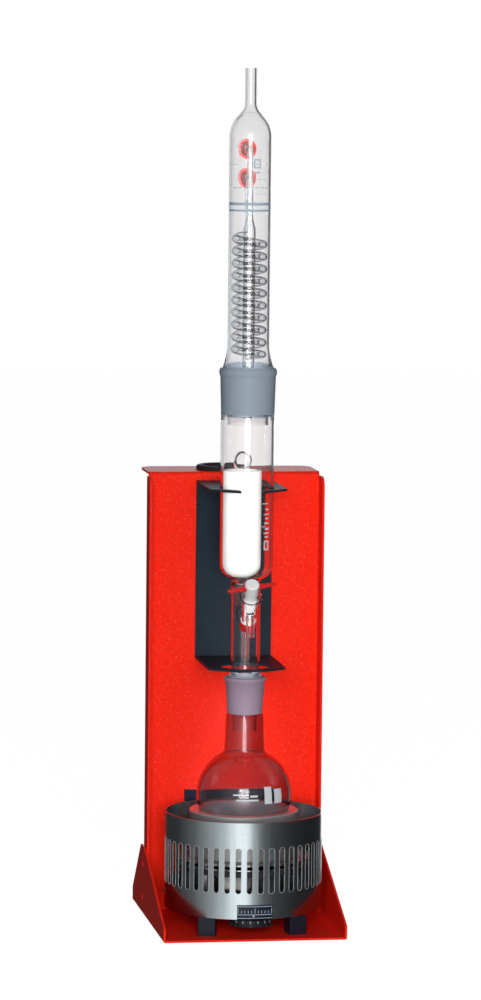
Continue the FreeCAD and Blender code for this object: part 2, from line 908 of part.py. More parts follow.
def control_dial():
    # Round power dial with a fluted edge under the front of the heater.
    top = shell_bottom - dial_below_base
    bottom = top - dial_height
    y = -regulator_ahead
    dial = cylinder(dial_radius, bottom, top, 0, y)
    rims = [edge for edge in dial.Edges if edge.Length > dial_radius * 6]
    dial = dial.makeFillet(dial_round, rims)
    flute = cylinder(dial_flute_radius, bottom - 1, bottom + dial_height * 0.45, 0, y - dial_radius)
    dial = dial.cut(ring_of(flute, dial_flute_count, V(0, y, 0)))
    return dial.cut(cylinder(shaft_radius - shaft_press, bottom + dial_height * 0.3, top + 1, 0, y))


def dial_shaft():
    top = shell_bottom - dial_below_base
    bottom = top - dial_height * 0.7
    return cylinder(shaft_radius - shaft_press, bottom, base_top + shaft_length * 0.55, 0, -regulator_ahead)


def scale_plate():
    # Curved plate behind the cut-out of the shell, with the power scale.
    outer = shell_radius - shell_wall - scale_plate_gap
    inner = outer - scale_plate_wall
    bottom = shell_bottom + scale_plate_rise
    top = shell_bottom + scale_height + scale_plate_margin
    ring = cylinder(outer, bottom, top).cut(cylinder(inner, bottom - 1, top + 1))
    half = scale_width / 2 + scale_plate_margin
    return ring.common(block(-half, half, -shell_radius, 0, bottom - 1, top + 1))


def connection_box():
    # Moulded box at the back of the heater that passes through the panel's window.
    half = box_width / 2
    front = panel_face - box_ahead
    rear = front + box_depth
    body = block(-half, half, front, rear, box_low, box_top)
    long_edges = [edge for edge in body.Edges if edge.BoundBox.YLength > box_depth - 0.01]
    body = body.makeFillet(box_edge, long_edges)
    link_z = shell_bottom + link_height
    inner = shell_radius - shell_wall
    link = rod(V(0, inner - 4, link_z), V(0, front + 2, link_z), link_radius)
    collar_end = V(0, inner - collar_gap, link_z)
    collar = rod(collar_end - BACK * collar_thickness, collar_end, link_radius + collar_width)
    body = joined([body, link, collar])
    body = body.cut(rod(V(0, inner - 6, link_z), V(0, rear - 3, link_z), link_radius - link_wall))
    pocket = block(-inlet_width / 2, inlet_width / 2, rear - inlet_depth, rear + 1,
                   inlet_z - inlet_height / 2, inlet_z + inlet_height / 2)
    return body.cut(pocket)


def mains_inlet():
    # Appliance inlet in the rear of the box: flanged socket shell with three pins.
    rear = panel_face - box_ahead + box_depth
    half_w = inlet_width / 2 - inlet_fit
    half_h = inlet_height / 2 - inlet_fit
    flange_plate = block(-half_w - inlet_flange, half_w + inlet_flange, rear, rear + inlet_plate,
                         inlet_z - half_h - inlet_flange, inlet_z + half_h + inlet_flange)
    body = block(-half_w, half_w, rear - inlet_depth + inlet_fit, rear, inlet_z - half_h, inlet_z + half_h)
    body = joined([body, flange_plate])
    wall = inlet_wall
    cavity = block(-half_w + wall, half_w - wall, rear - inlet_depth + 3, rear + 3,
                   inlet_z - half_h + wall, inlet_z + half_h - wall)
    upper = [edge for edge in cavity.Edges
             if edge.BoundBox.YLength > inlet_depth - 2 and edge.BoundBox.ZMin > inlet_z]
    cavity = cavity.makeFillet(inlet_corner, upper)
    body = body.cut(cavity)
    pins = []
    half = pin_width / 2
    for x, z in ((-inlet_spread, -inlet_pins_down), (inlet_spread, -inlet_pins_down), (0.0, inlet_earth_up)):
        pins.append(block(x - half, x + half, rear - inlet_depth + 2, rear - pin_short,
                          inlet_z + z - inlet_pin_radius, inlet_z + z + inlet_pin_radius))
    return joined([body] + pins)


def small_joint_radius(height):
    # Ground joint radius at a height, for the joint between extractor and flask.
    return joint_small_top - (neck_top - height) * joint_taper


def large_joint_radius(height):
    return joint_large_top - (extractor_top - height) * joint_taper


def flask():
    # Blown round-bottom flask with a ground socket.
    inner_ball = flask_radius - flask_wall
    neck_bore = neck_radius - flask_wall
    c = flask_centre
    outer_join = c + math.sqrt(flask_radius ** 2 - neck_radius ** 2)
    inner_join = c + math.sqrt(inner_ball ** 2 - neck_bore ** 2)
    ground_end = neck_top - joint_small_length
    bead_mid = neck_top - bead_small_height / 2
    outer = lathe(at(0, c - flask_radius), [
        (at(flask_radius * math.cos(0.6), c - flask_radius * math.sin(0.6)), at(neck_radius, outer_join)),
        at(neck_radius, neck_top - bead_small_height),
        (at(bead_small_radius, bead_mid), at(neck_radius, neck_top)),
        at(0, neck_top),
    ])
    inner = lathe(at(0, c - inner_ball), [
        (at(inner_ball * math.cos(0.6), c - inner_ball * math.sin(0.6)), at(neck_bore, inner_join)),
        at(neck_bore, ground_end - 6),
        at(small_joint_radius(ground_end), ground_end),
        at(small_joint_radius(neck_top), neck_top),
        at(small_joint_radius(neck_top), neck_top + 1),
        at(0, neck_top + 1),
    ])
    return outer.cut(inner)


def extractor():
    # One blown piece: lower tube with ground cone, chamber with ground socket, vapour arm,
    # siphon, stopcock barrel and drain.
    ground_end = neck_top - joint_small_length
    drip_end = ground_end - drip_length
    cone_top = neck_top + 1.2
    floor = chamber_floor
    corner_centre = chamber_radius - chamber_corner
    corner_level = chamber_bottom + chamber_corner
    inner_corner = chamber_corner - chamber_wall
    inner_radius = chamber_radius - chamber_wall
    socket_end = extractor_top - joint_large_length
    socket_outer = joint_large_top + socket_wall
    tube_meets = corner_level - math.sqrt(chamber_corner ** 2 - (lower_radius - corner_centre) ** 2)
    slope = math.radians(55)
    corner_middle = at(corner_centre + chamber_corner * math.cos(slope),
                       corner_level - chamber_corner * math.sin(slope))
    outer = lathe(at(0, drip_end), [
        at(drip_radius, drip_end),
        at(drip_radius, ground_end - 2),
        at(small_joint_radius(ground_end) - joint_gap, ground_end),
        at(small_joint_radius(cone_top) - joint_gap, cone_top),
        at(lower_radius - 0.6, cone_top + 3),
        at(lower_radius, cone_top + 9),
        at(lower_radius, tube_meets),
        (corner_middle, at(chamber_radius, corner_level)),
        at(chamber_radius, socket_end - 8),
        at(socket_outer - 0.9, socket_end),
        at(socket_outer, extractor_top - bead_large_height),
        (at(bead_large_radius, extractor_top - bead_large_height / 2), at(socket_outer, extractor_top)),
        at(0, extractor_top),
    ])
    chamber_cavity = lathe(at(0, floor), [
        at(corner_centre, floor),
        (at(corner_centre + inner_corner * SLANT, corner_level - inner_corner * SLANT),
         at(inner_radius, corner_level)),
        at(inner_radius, socket_end - 6),
        at(large_joint_radius(socket_end), socket_end),
        at(large_joint_radius(extractor_top), extractor_top),
        at(large_joint_radius(extractor_top), extractor_top + 1),
        at(0, extractor_top + 1),
    ])
    lower_bore = lower_radius - tube_wall
    cone_bore = drip_radius - tube_wall
    dome = 4.0
    lower_top = chamber_bottom - tube_wall
    lower_cavity = lathe(at(0, drip_end - 1), [
        at(cone_bore, drip_end - 1),
        at(cone_bore, ground_end),
        at(lower_bore, cone_top + 4),
        at(lower_bore, lower_top - dome),
        (at(lower_bore - dome * (1 - SLANT), lower_top - dome * (1 - SLANT)),
         at(lower_bore - dome, lower_top)),
        at(0, lower_top),
    ])
    arm_z0 = floor - arm_low
    arm_z1 = floor + arm_high
    arm_points = [V(0, lower_radius - arm_inset, arm_z0), V(0, arm_reach, arm_z0),
                  V(0, arm_reach, arm_z1), V(0, inner_radius - arm_inset, arm_z1)]
    arm = turned(pipe(arm_points, arm_bend, arm_radius), -arm_turn)
    arm_bore = turned(pipe(arm_points, arm_bend, arm_radius - arm_wall), -arm_turn)
    siphon_tube, siphon_hole = siphon(floor)
    barrel, barrel_holes = stopcock_barrel()
    body = joined([outer, arm, siphon_tube] + barrel)
    body = body.cut([chamber_cavity, lower_cavity.cut(siphon_tube), arm_bore, siphon_hole] + barrel_holes)
    return turned(biggest_solid(body))


def biggest_solid(shape):
    # Ends of tubes that a cavity cut free are dropped.
    return sorted(shape.Solids, key=lambda solid: solid.Volume)[-1]


def siphon(floor):
    # Thin tube: out of the chamber's foot, up, over the crest, down and into the lower tube.
    rise = math.radians(90 - siphon_angle)
    fall = math.radians(90 - siphon_angle - siphon_spread)
    way_up = V(math.cos(rise), math.sin(rise), 0)
    way_down = V(math.cos(fall), math.sin(fall), 0)
    z_low = floor + siphon_low
    z_crest = floor + siphon_crest
    z_entry = floor - siphon_entry
    foot = way_up * (chamber_radius - siphon_inset) + UP * z_low
    points = [foot, way_up * siphon_circle + UP * z_low, way_up * siphon_circle + UP * z_crest,
              way_down * siphon_circle + UP * z_crest, way_down * siphon_circle + UP * z_entry,
              UP * z_entry, UP * (floor - siphon_end)]
    legs = (points[2] - points[3]).Length
    crest_bend = legs / 2 - 0.01
    first = pipe_runs(points[:3] + [(points[2] + points[3]) * 0.5], [siphon_bend, crest_bend])
    second = pipe_runs([(points[2] + points[3]) * 0.5] + points[3:], [crest_bend, siphon_bend, siphon_bend])
    path = Part.Wire(first + second)
    shapes = []
    for radius in (siphon_radius, siphon_bore):
        ring = Part.Wire(Part.Circle(foot, way_up, radius).toShape())
        shapes.append(path.makePipeShell([ring], True, False))
    return shapes


def pipe_runs(points, bends):
    # Edges of straight runs and arcs, with a bend radius for each corner.
    edges = []
    here = points[0]
    for before, corner, after, radius in zip(points, points[1:], points[2:], bends):
        inward = (before - corner).normalize()
        outward = (after - corner).normalize()
        half = inward.getAngle(outward) / 2
        arc_start = corner + inward * (radius / math.tan(half))
        arc_end = corner + outward * (radius / math.tan(half))
        middle = corner + (inward + outward).normalize() * (radius / math.sin(half) - radius)
        edges.append(Part.LineSegment(here, arc_start).toShape())
        edges.append(Part.Arc(arc_start, middle, arc_end).toShape())
        here = arc_end
    edges.append(Part.LineSegment(here, points[-1]).toShape())
    return edges


def cock_frame():
    # Centre of the stopcock, and the direction from there to the chamber's drain.
    tilt = math.radians(cock_tilt)
    centre = V(0, -cock_ahead, chamber_floor - cock_below_floor)
    across = V(0, math.cos(tilt), math.sin(tilt))
    return centre, across


def barrel_bore(height):
    return barrel_small_bore + (height + barrel_low) * barrel_taper


def stand_on_cock(shape):
    # Places a shape made about Z on the plug's axis.
    copy = shape.copy()
    copy.rotate(ORIGIN, RIGHT, cock_tilt)
    copy.translate(cock_frame()[0])
    return copy


def stopcock_barrel():
    # Tapered glass barrel with a flared mouth, the drain from the chamber and the outlet.
    centre, across = cock_frame()
    mouth = barrel_high + barrel_flare_height
    wall = barrel_wall
    body = lathe(at(0, -barrel_low), [
        at(barrel_bore(-barrel_low) + wall, -barrel_low),
        at(barrel_bore(barrel_high) + wall, barrel_high),
        at(barrel_flare, mouth),
        at(0, mouth),
    ])
    hole = lathe(at(0, -barrel_low - 1), [
        at(barrel_bore(-barrel_low - 1), -barrel_low - 1),
        at(barrel_bore(barrel_high), barrel_high),
        at(barrel_flare - wall * 0.8, mouth),
        at(barrel_flare - wall * 0.8, mouth + 1),
        at(0, mouth + 1),
    ])
    drain = rod(centre, centre + across * drain_length, drain_radius)
    drain_hole = rod(centre, centre + across * (drain_length + 2), drain_bore)
    spout_top = centre - across * outlet_ahead
    spout_end = V(0, spout_top.y, centre.z - outlet_drop)
    spout = rod(spout_top, spout_end, outlet_radius)
    spout_root = Part.makeSphere(outlet_radius, spout_top)
    spout_hole = rod(spout_top, spout_end - UP, outlet_bore)
    cross_hole = rod(centre, spout_top, outlet_bore)
    outers = [stand_on_cock(body), drain, spout, spout_root]
    return outers, [stand_on_cock(hole), drain_hole, spout_hole, cross_hole]


def stopcock_plug():
    # White plug: head with a cross hole for the handle, tapered body with a port, threaded tail.
    gap = plug_gap
    plug = lathe(at(0, -plug_tail), [
        at(plug_tail_radius, -plug_tail),
        at(plug_tail_radius, -barrel_low + plug_shoulder),
        at(barrel_bore(plug_shoulder - barrel_low) - gap, -barrel_low + plug_shoulder),
        at(barrel_bore(barrel_high) - gap, barrel_high),
        at(plug_neck_radius, barrel_high + 1),
        at(plug_neck_radius, plug_head_low),
        at(plug_head_radius * 0.9, plug_head_low),
        at(plug_head_radius, plug_head_high - 0.8),
        at(plug_head_radius - 0.8, plug_head_high),
        at(0, plug_head_high),
    ])
    port = rod(V(0, -20, 0), V(0, 20, 0), plug_port_radius)
    cross = rod(V(-20, 0, handle_height), V(20, 0, handle_height), handle_radius + handle_gap)
    cross.rotate(ORIGIN, UP, handle_turn)
    return turned(stand_on_cock(plug.cut([port, cross])))


def stopcock_handle():
    # Round bar through the plug's head, tapered to both tips.
    half = handle_length / 2
    middle = plug_head_radius + 1
    bar = rod(V(-middle, 0, handle_height), V(middle, 0, handle_height), handle_radius)
    shapes = [bar]
    for side in (-1, 1):
        root = V(side * middle, 0, handle_height)
        tip = V(side * (half - handle_tip_radius), 0, handle_height)
        shapes.append(cone_rod(root, tip, handle_radius, handle_tip_radius))
        shapes.append(Part.makeSphere(handle_tip_radius, tip))
    handle = joined(shapes)
    handle.rotate(ORIGIN, UP, handle_turn)
    return turned(stand_on_cock(handle))


def cock_ring(outer, start, thickness):
    ring = cylinder(outer, start - thickness, start)
    return ring.cut(cylinder(plug_tail_radius + screw_fit, start - thickness - 1, start + 1))


def stopcock_washer():
    return turned(stand_on_cock(cock_ring(cock_washer_radius, -barrel_low - plug_gap, cock_washer_thickness)))


def stopcock_o_ring():
    start = -barrel_low - plug_gap - cock_washer_thickness
    ring = cock_ring(cock_ring_radius, start, cock_ring_thickness)
    rims = [edge for edge in ring.Edges if edge.Length > 4 * cock_ring_radius]
    return turned(stand_on_cock(ring.makeFillet(cock_ring_round, rims)))


def stopcock_nut():
    # Fluted nut on the plug's tail.
    start = -barrel_low - plug_gap - cock_washer_thickness - cock_ring_thickness
    nut = cock_ring(cock_nut_radius, start, cock_nut_height)
    rims = [edge for edge in nut.Edges if edge.Length > cock_nut_radius * 6 and edge.BoundBox.ZLength < 0.01]
    nut = nut.makeFillet(cock_nut_round, rims)
    flute = cylinder(cock_nut_flute_radius, start - cock_nut_height - 1, start + 1, cock_nut_radius + 0.35, 0)
    nut = nut.cut(ring_of(flute, cock_nut_flutes))
    return turned(stand_on_cock(nut))


def thimble():
    # Paper cup with a rounded foot.
    bottom = chamber_floor + thimble_rest_gap
    top = bottom + thimble_height
    inner_corner = thimble_corner - thimble_wall
    flat = thimble_radius - thimble_corner
    cup = lathe(at(0, bottom), [
        at(flat, bottom),
        (at(flat + thimble_corner * SLANT, bottom + thimble_corner * (1 - SLANT)),
         at(thimble_radius, bottom + thimble_corner)),
        at(thimble_radius, top),
        at(thimble_radius - thimble_wall, top),
        at(thimble_radius - thimble_wall, bottom + thimble_corner),
        (at(flat + inner_corner * SLANT, bottom + thimble_wall + inner_corner * (1 - SLANT)),
         at(flat, bottom + thimble_wall)),
        at(0, bottom + thimble_wall),
    ])
    cup.translate(V(-thimble_shift, 0, 0))
    return cup


def condenser():
    # One blown piece: jacket with ground cone and vent, coil, core tube and two threaded ports.
    base = extractor_top
    ground_end = base - joint_large_length
    tip = ground_end - condenser_tip
    cone_top = base + 1.5
    shoulder = base + shoulder_height
    vent_start = base + jacket_top
    wall = jacket_wall
    outer = lathe(at(0, tip), [
        at(condenser_tip_radius, tip),
        at(condenser_tip_radius, ground_end - 2),
        at(large_joint_radius(ground_end) - joint_gap, ground_end),
        at(large_joint_radius(cone_top) - joint_gap, cone_top),
        (at(jacket_radius + 1.1, base + flare_height * 0.55), at(jacket_radius, base + flare_height)),
        at(jacket_radius, shoulder),
        (at(jacket_radius - 3.2, shoulder + 11.5), at(jacket_radius - 8.4, shoulder + 18.5)),
        (at(vent_radius + 1.3, vent_start - 6), at(vent_radius, vent_start)),
        at(vent_radius, vent_top),
        at(0, vent_top),
    ])
    cavity = lathe(at(0, tip - 1), [
        at(condenser_tip_radius - wall, tip - 1),
        at(condenser_tip_radius - wall, ground_end),
        at(large_joint_radius(base) - wall - 1, base),
        at(jacket_radius - wall, base + flare_height),
        at(jacket_radius - wall, shoulder),
        (at(jacket_radius - wall - 3.0, shoulder + 10.3), at(jacket_radius - wall - 8.4, shoulder + 17.2)),
        (at(vent_radius - vent_wall + 1.0, vent_start - 6), at(vent_radius - vent_wall, vent_start)),
        at(vent_radius - vent_wall, vent_top + 1),
        at(0, vent_top + 1),
    ])
    port_start = jacket_radius - wall / 2
    ports = []
    holes = []
    for height in (port_low, port_high):
        level = base + height
        ports.append(rod(V(0, port_start, level), V(0, port_reach, level), port_radius))
        holes.append(rod(V(0, jacket_radius, level), V(0, port_reach + 1, level), port_bore))
    holes.append(rod(V(0, 0, base + port_high), V(0, jacket_radius + 1, base + port_high), feed_bore))
    riser_end = V(0, jacket_radius + 1, base + port_low)
    holes.append(rod(V(0, coil_radius, base + port_low), riser_end, feed_bore))
    jacket = joined([outer] + ports).cut(cavity)
    body = joined([jacket, water_way(base)])
    body = body.cut(holes)
    return turned(biggest_solid(body), condenser_turn)


def water_way(base):
    # Coil, core tube and the two feeds, as one hollow glass tube system.
    low = base + coil_low
    coil_height = coil_pitch * coil_turns
    helix = Part.makeHelix(coil_pitch, coil_height, coil_radius, 0, True)
    helix.rotate(ORIGIN, UP, 90)
    helix.translate(V(0, 0, low))
    start = V(0, coil_radius, low)
    ring = Part.Wire(Part.Circle(start, RIGHT, coil_tube_radius).toShape())
    coil = Part.Wire(helix.Edges).makePipeShell([ring], True, True)
    bore_ring = Part.Wire(Part.Circle(start, RIGHT, coil_bore).toShape())
    coil_hole = Part.Wire(helix.Edges).makePipeShell([bore_ring], True, True)
    high = low + coil_height
    link_low = rod(start, V(0, 0, low), coil_tube_radius - elbow_swell)
    link_hole = rod(start, V(0, 0, low), coil_bore - elbow_swell)
    elbow_low = Part.makeSphere(coil_tube_radius + elbow_swell, start)
    top = V(0, coil_radius, high)
    elbow_high = Part.makeSphere(coil_tube_radius + elbow_swell, top)
    elbow_holes = [Part.makeSphere(coil_bore + elbow_swell, centre) for centre in (start, top)]
    riser_top = V(0, coil_radius, base + port_low)
    riser = rod(top, riser_top, feed_radius)
    riser_elbow = Part.makeSphere(feed_radius + elbow_swell, riser_top)
    riser_out = rod(riser_top, V(0, jacket_radius - jacket_wall / 2, riser_top.z), feed_radius)
    core_bottom = base + core_low
    core_top = base + core_high
    core = lathe(at(0, core_bottom - core_radius), [
        (at(core_radius * SLANT, core_bottom - core_radius * SLANT), at(core_radius, core_bottom)),
        at(core_radius, core_top),
        (at(feed_radius + 0.9, core_top + feed_flare * 0.45), at(feed_radius, core_top + feed_flare)),
        at(feed_radius, base + port_high),
        at(0, base + port_high),
    ])
    feed_top = V(0, 0, base + port_high)
    feed_elbow = Part.makeSphere(feed_radius + elbow_swell, feed_top)
    feed_out = rod(feed_top, V(0, jacket_radius - jacket_wall / 2, feed_top.z), feed_radius)
    tubes = [core, link_low, feed_elbow, feed_out, elbow_low, elbow_high, riser, riser_elbow, riser_out]
    solid = coil.fuse(tubes)
    inner = core_radius - core_wall
    core_hole = lathe(at(0, core_bottom - inner), [
        (at(inner * SLANT, core_bottom - inner * SLANT), at(inner, core_bottom)),
        at(inner, core_top - 1),
        (at(feed_bore + 0.8, core_top + feed_flare * 0.45), at(feed_bore, core_top + feed_flare)),
        at(feed_bore, base + port_high),
        at(0, base + port_high),
    ])
    feed_hole = rod(feed_top, V(0, jacket_radius, feed_top.z), feed_bore)
    riser_hole = rod(top, riser_top, feed_bore)
    riser_turn = Part.makeSphere(feed_bore + elbow_swell / 2, riser_top)
    return solid.cut([core_hole, feed_hole, riser_hole, riser_turn, coil_hole, link_hole] + elbow_holes)


def port_levels():
    return [extractor_top + port_low, extractor_top + port_high]


def condenser_caps():
    # Ribbed screw caps on the two ports.
    caps = []
    end = port_reach + seal_thickness + nozzle_flange + cap_gap + cap_top
    for level in port_levels():
        start = end - cap_height
        cap = rod(V(0, start, level), V(0, end, level), cap_radius)
        cavity = rod(V(0, start - 1, level), V(0, end - cap_top, level), nozzle_flange_radius + cap_gap)
        hole = rod(V(0, start, level), V(0, end + 1, level), cap_hole_radius)
        groove = rod(V(0, start + 2, level), V(0, end + 1, level), cap_rib_radius)
        groove.translate(V(cap_radius + 0.3, 0, 0))
        grooves = ring_of(groove, cap_ribs, V(0, 0, level), BACK)
        caps.append(turned(cap.cut([cavity, hole] + grooves), condenser_turn))
    return Part.makeCompound(caps)


def port_seals():
    seals = []
    for level in port_levels():
        disc = rod(V(0, port_reach, level), V(0, port_reach + seal_thickness, level), nozzle_flange_radius)
        bore = rod(V(0, 0, level), V(0, port_reach + 2 * seal_thickness, level), nozzle_bore)
        seals.append(turned(disc.cut(bore), condenser_turn))
    return Part.makeCompound(seals)


def hose_nozzles():
    # Barbed hose nozzles held by the caps.
    nozzles = []
    start = port_reach + seal_thickness
    profile_start = at(0, 0)
    barb_start = nozzle_length - nozzle_barbs * nozzle_barb_pitch
    steps = [
        at(nozzle_flange_radius, 0),
        at(nozzle_flange_radius, nozzle_flange),
        at(nozzle_radius, nozzle_flange),
        at(nozzle_radius, barb_start),
    ]
    for index in range(nozzle_barbs):
        height = barb_start + index * nozzle_barb_pitch
        steps.append(at(nozzle_radius + nozzle_barb, height + barb_rise))
        steps.append(at(nozzle_radius - barb_root, height + nozzle_barb_pitch))
    steps.append(at(0, nozzle_length))
    body = lathe(profile_start, steps).cut(cylinder(nozzle_bore, -1, nozzle_length + 1))
    body.rotate(ORIGIN, RIGHT, -90)
    for level in port_levels():
        nozzle = body.copy()
        nozzle.translate(V(0, start, level))
        nozzles.append(turned(nozzle, condenser_turn))
    return Part.makeCompound(nozzles)


PIECES = {
    "base_tray": base_tray,
    "back_panel": back_panel,
    "gusset_rivets": gusset_rivets,
    "holder_bracket": holder_bracket,
    "holder_washers": holder_washers,
    "holder_nuts": holder_nuts,
    "hose_grommet": hose_grommet,
    "heater_base": heater_base,
    "heater_feet": heater_feet,
    "foot_screws": foot_screws,
    "heater_shell": heater_shell,
    "shell_screws": shell_screws,
    "scale_plate": scale_plate,
    "support_posts": support_posts,
    "insulating_plate": insulating_plate,
    "shield_spacers": shield_spacers,
    "heat_shields": heat_shields,
    "heating_element": heating_element,
    "terminal_block": terminal_block,
    "heater_bowl": heater_bowl,
    "power_regulator": power_regulator,
    "dial_shaft": dial_shaft,
    "control_dial": control_dial,
    "connection_box": connection_box,
    "mains_inlet": mains_inlet,
    "flask": flask,
    "extractor": extractor,
    "thimble": thimble,
    "stopcock_plug": stopcock_plug,
    "stopcock_handle": stopcock_handle,
    "stopcock_washer": stopcock_washer,
    "stopcock_o_ring": stopcock_o_ring,
    "stopcock_nut": stopcock_nut,
    "condenser": condenser,
    "port_seals": port_seals,
    "hose_nozzles": hose_nozzles,
    "condenser_caps": condenser_caps,
}

os.makedirs("parts", exist_ok=True)
for name, make in PIECES.items():
    shape = make()
    shape.exportStep("parts/" + name + ".step")
    print(name, "solids", len(shape.Solids), "valid", shape.isValid(), "volume", round(shape.Volume, 1))
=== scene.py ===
import logging
import math
from collections.abc import Sequence
from dataclasses import dataclass, field
from enum import Enum

import bmesh
import bpy
from mathutils import Matrix, Vector
from mathutils.bvhtree import BVHTree


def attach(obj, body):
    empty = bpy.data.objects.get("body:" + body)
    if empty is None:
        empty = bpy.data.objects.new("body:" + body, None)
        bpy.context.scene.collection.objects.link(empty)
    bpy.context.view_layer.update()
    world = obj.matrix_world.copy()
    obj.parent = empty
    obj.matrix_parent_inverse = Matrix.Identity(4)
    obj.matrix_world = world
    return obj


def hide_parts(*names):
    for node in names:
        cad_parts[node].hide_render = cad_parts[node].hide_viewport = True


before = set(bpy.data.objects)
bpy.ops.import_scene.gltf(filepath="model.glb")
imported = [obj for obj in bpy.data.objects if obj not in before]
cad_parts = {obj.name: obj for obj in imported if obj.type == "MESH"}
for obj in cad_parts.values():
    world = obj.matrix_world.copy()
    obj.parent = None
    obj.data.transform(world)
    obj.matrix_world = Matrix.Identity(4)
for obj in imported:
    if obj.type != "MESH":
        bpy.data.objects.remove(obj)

LOG = logging.getLogger("extraction_unit")
Colour = tuple[float, float, float]
Place = tuple[float, float, float]
Point = tuple[float, float]
Socket = bpy.types.NodeSocket

MM = 0.001
ON_AXIS = 1e-6


class Body(Enum):
    """Rigid bodies that carry the pieces made here, by their packed names."""

    UNIT = "unit"
    DIAL = "dial"


class NodeBench:
    """Builds a node tree step by step."""

    def __init__(self, tree: bpy.types.NodeTree) -> None:
        """Takes the tree to build in."""
        self.tree = tree

    def feed(self, socket: Socket, value: object) -> None:
        """Links an output to an input socket, or gives the socket a constant.

        Args:
            socket: the input socket.
            value: another node's output, a number, a vector or a linear colour.
        """
        if isinstance(value, Socket):
            self.tree.links.new(value, socket)
        elif socket.type == "RGBA":
            socket.default_value = (*value, 1.0)
        else:
            socket.default_value = value

    def node(self, kind: str, inputs: dict[str | int, object] | None = None,
             **attributes: object) -> bpy.types.Node:
        """Adds one node.

        Args:
            kind: Blender's name of the node type.
            inputs: socket name or number to a constant or to another node's output.
            attributes: settings of the node itself.

        Returns:
            The new node.
        """
        made = self.tree.nodes.new(kind)
        for key, value in attributes.items():
            setattr(made, key, value)
        for key, value in (inputs or {}).items():
            self.feed(made.inputs[key], value)
        return made

    def number(self, operation: str, *values: Socket | float) -> Socket:
        """Works out one number by one of Blender's operations."""
        return self.node("ShaderNodeMath", dict(enumerate(values)), operation=operation).outputs[0]

    def spread(self, value: Socket, low: float, high: float, edge: Point = (0.3, 0.7)) -> Socket:
        """Maps a factor onto a range.

        Args:
            value: the factor.
            low: result at the lower edge.
            high: result at the upper edge.
            edge: factor values of both edges.

        Returns:
            The mapped value.
        """
        made = self.node("ShaderNodeMapRange", {
            "Value": value, "From Min": edge[0], "From Max": edge[1],
            "To Min": low, "To Max": high})
        return made.outputs["Result"]

    def blend(self, factor: Socket, first: Socket | Colour, second: Socket | Colour) -> Socket:
        """Mixes two colours.

        Args:
            factor: 0 gives the first colour.
            first: colour output or linear colour.
            second: colour output or linear colour.

        Returns:
            The colour output.
        """
        made = self.node("ShaderNodeMix", {"Factor": factor}, data_type="RGBA")
        colours = [socket for socket in made.inputs if socket.type == "RGBA"]
        self.feed(colours[0], first)
        self.feed(colours[1], second)
        return next(socket for socket in made.outputs if socket.type == "RGBA")

    def ramp(self, value: Socket, stops: Sequence[tuple[float, Colour]]) -> Socket:
        """Turns a factor into a colour by stops.

        Args:
            value: the factor.
            stops: place from 0 to 1 and colour of each stop.

        Returns:
            The colour output.
        """
        made = self.node("ShaderNodeValToRGB", {"Fac": value})
        while len(made.color_ramp.elements) < len(stops):
            made.color_ramp.elements.new(0.5)
        for stop, (place, colour) in zip(made.color_ramp.elements, stops):
            stop.position = place
            stop.color = (*colour, 1.0)
        return made.outputs["Color"]


class ShaderBench(NodeBench):
    """Builds the node tree of one material round its main shader."""

    def __init__(self, name: str) -> None:
        """Starts a material with its main shader.

        Args:
            name: name of the material.
        """
        self.material = bpy.data.materials.new(name)
        self.material.use_nodes = True
        super().__init__(self.material.node_tree)
        self.shader = self.tree.nodes["Principled BSDF"]

    def set(self, **values: object) -> None:
        """Sets constants on the main shader, by socket names with underscores for spaces."""
        for key, value in values.items():
            self.feed(self.shader.inputs[key.replace("_", " ")], value)

    def link(self, value: Socket, socket: str) -> None:
        """Feeds a value into a socket of the main shader."""
        self.feed(self.shader.inputs[socket], value)

    def paint(self, tone: Socket, colour: Colour, shaded: float) -> None:
        """Gives the main shader a colour that clouds over to a darker shade of it."""
        cloud = self.spread(tone, 0.0, 1.0)
        self.link(self.blend(cloud, colour, shade(colour, shaded)), "Base Color")

    def roughen(self, tone: Socket, rough: float, sheen: Point) -> None:
        """Lets the main shader's roughness vary from its value, down and up by the sheen."""
        self.link(self.spread(tone, rough + sheen[0], rough + sheen[1]), "Roughness")

    def place(self, scale: Place = (1.0, 1.0, 1.0)) -> Socket:
        """Gives the coordinates of the object's own space, stretched along each axis."""
        source = self.node("ShaderNodeTexCoord").outputs["Object"]
        return self.node("ShaderNodeMapping", {"Vector": source, "Scale": scale}).outputs["Vector"]

    def noise(self, scale: float, stretch: Place = (1.0, 1.0, 1.0), detail: float = 3.0,
              rough: float = 0.55) -> Socket:
        """Noise from 0 to 1 in the object's own space.

        Args:
            scale: cells in a metre.
            stretch: factor along each axis.
            detail: number of octaves.
            rough: weight of the finer octaves.

        Returns:
            The factor output.
        """
        made = self.node("ShaderNodeTexNoise", {
            "Vector": self.place(stretch), "Scale": scale, "Detail": detail, "Roughness": rough})
        return made.outputs["Fac"]

    def relief(self, *layers: tuple[Socket, float, float]) -> None:
        """Chains bumps onto the main shader.

        Args:
            layers: each a height, its strength and its depth in metres.
        """
        last = None
        for height, strength, depth in layers:
            inputs = {"Height": height, "Strength": strength, "Distance": depth}
            if last is not None:
                inputs["Normal"] = last
            last = self.node("ShaderNodeBump", inputs).outputs["Normal"]
        self.link(last, "Normal")


def shade(colour: Colour, factor: float) -> Colour:
    """Scales a colour's brightness."""
    return (colour[0] * factor, colour[1] * factor, colour[2] * factor)


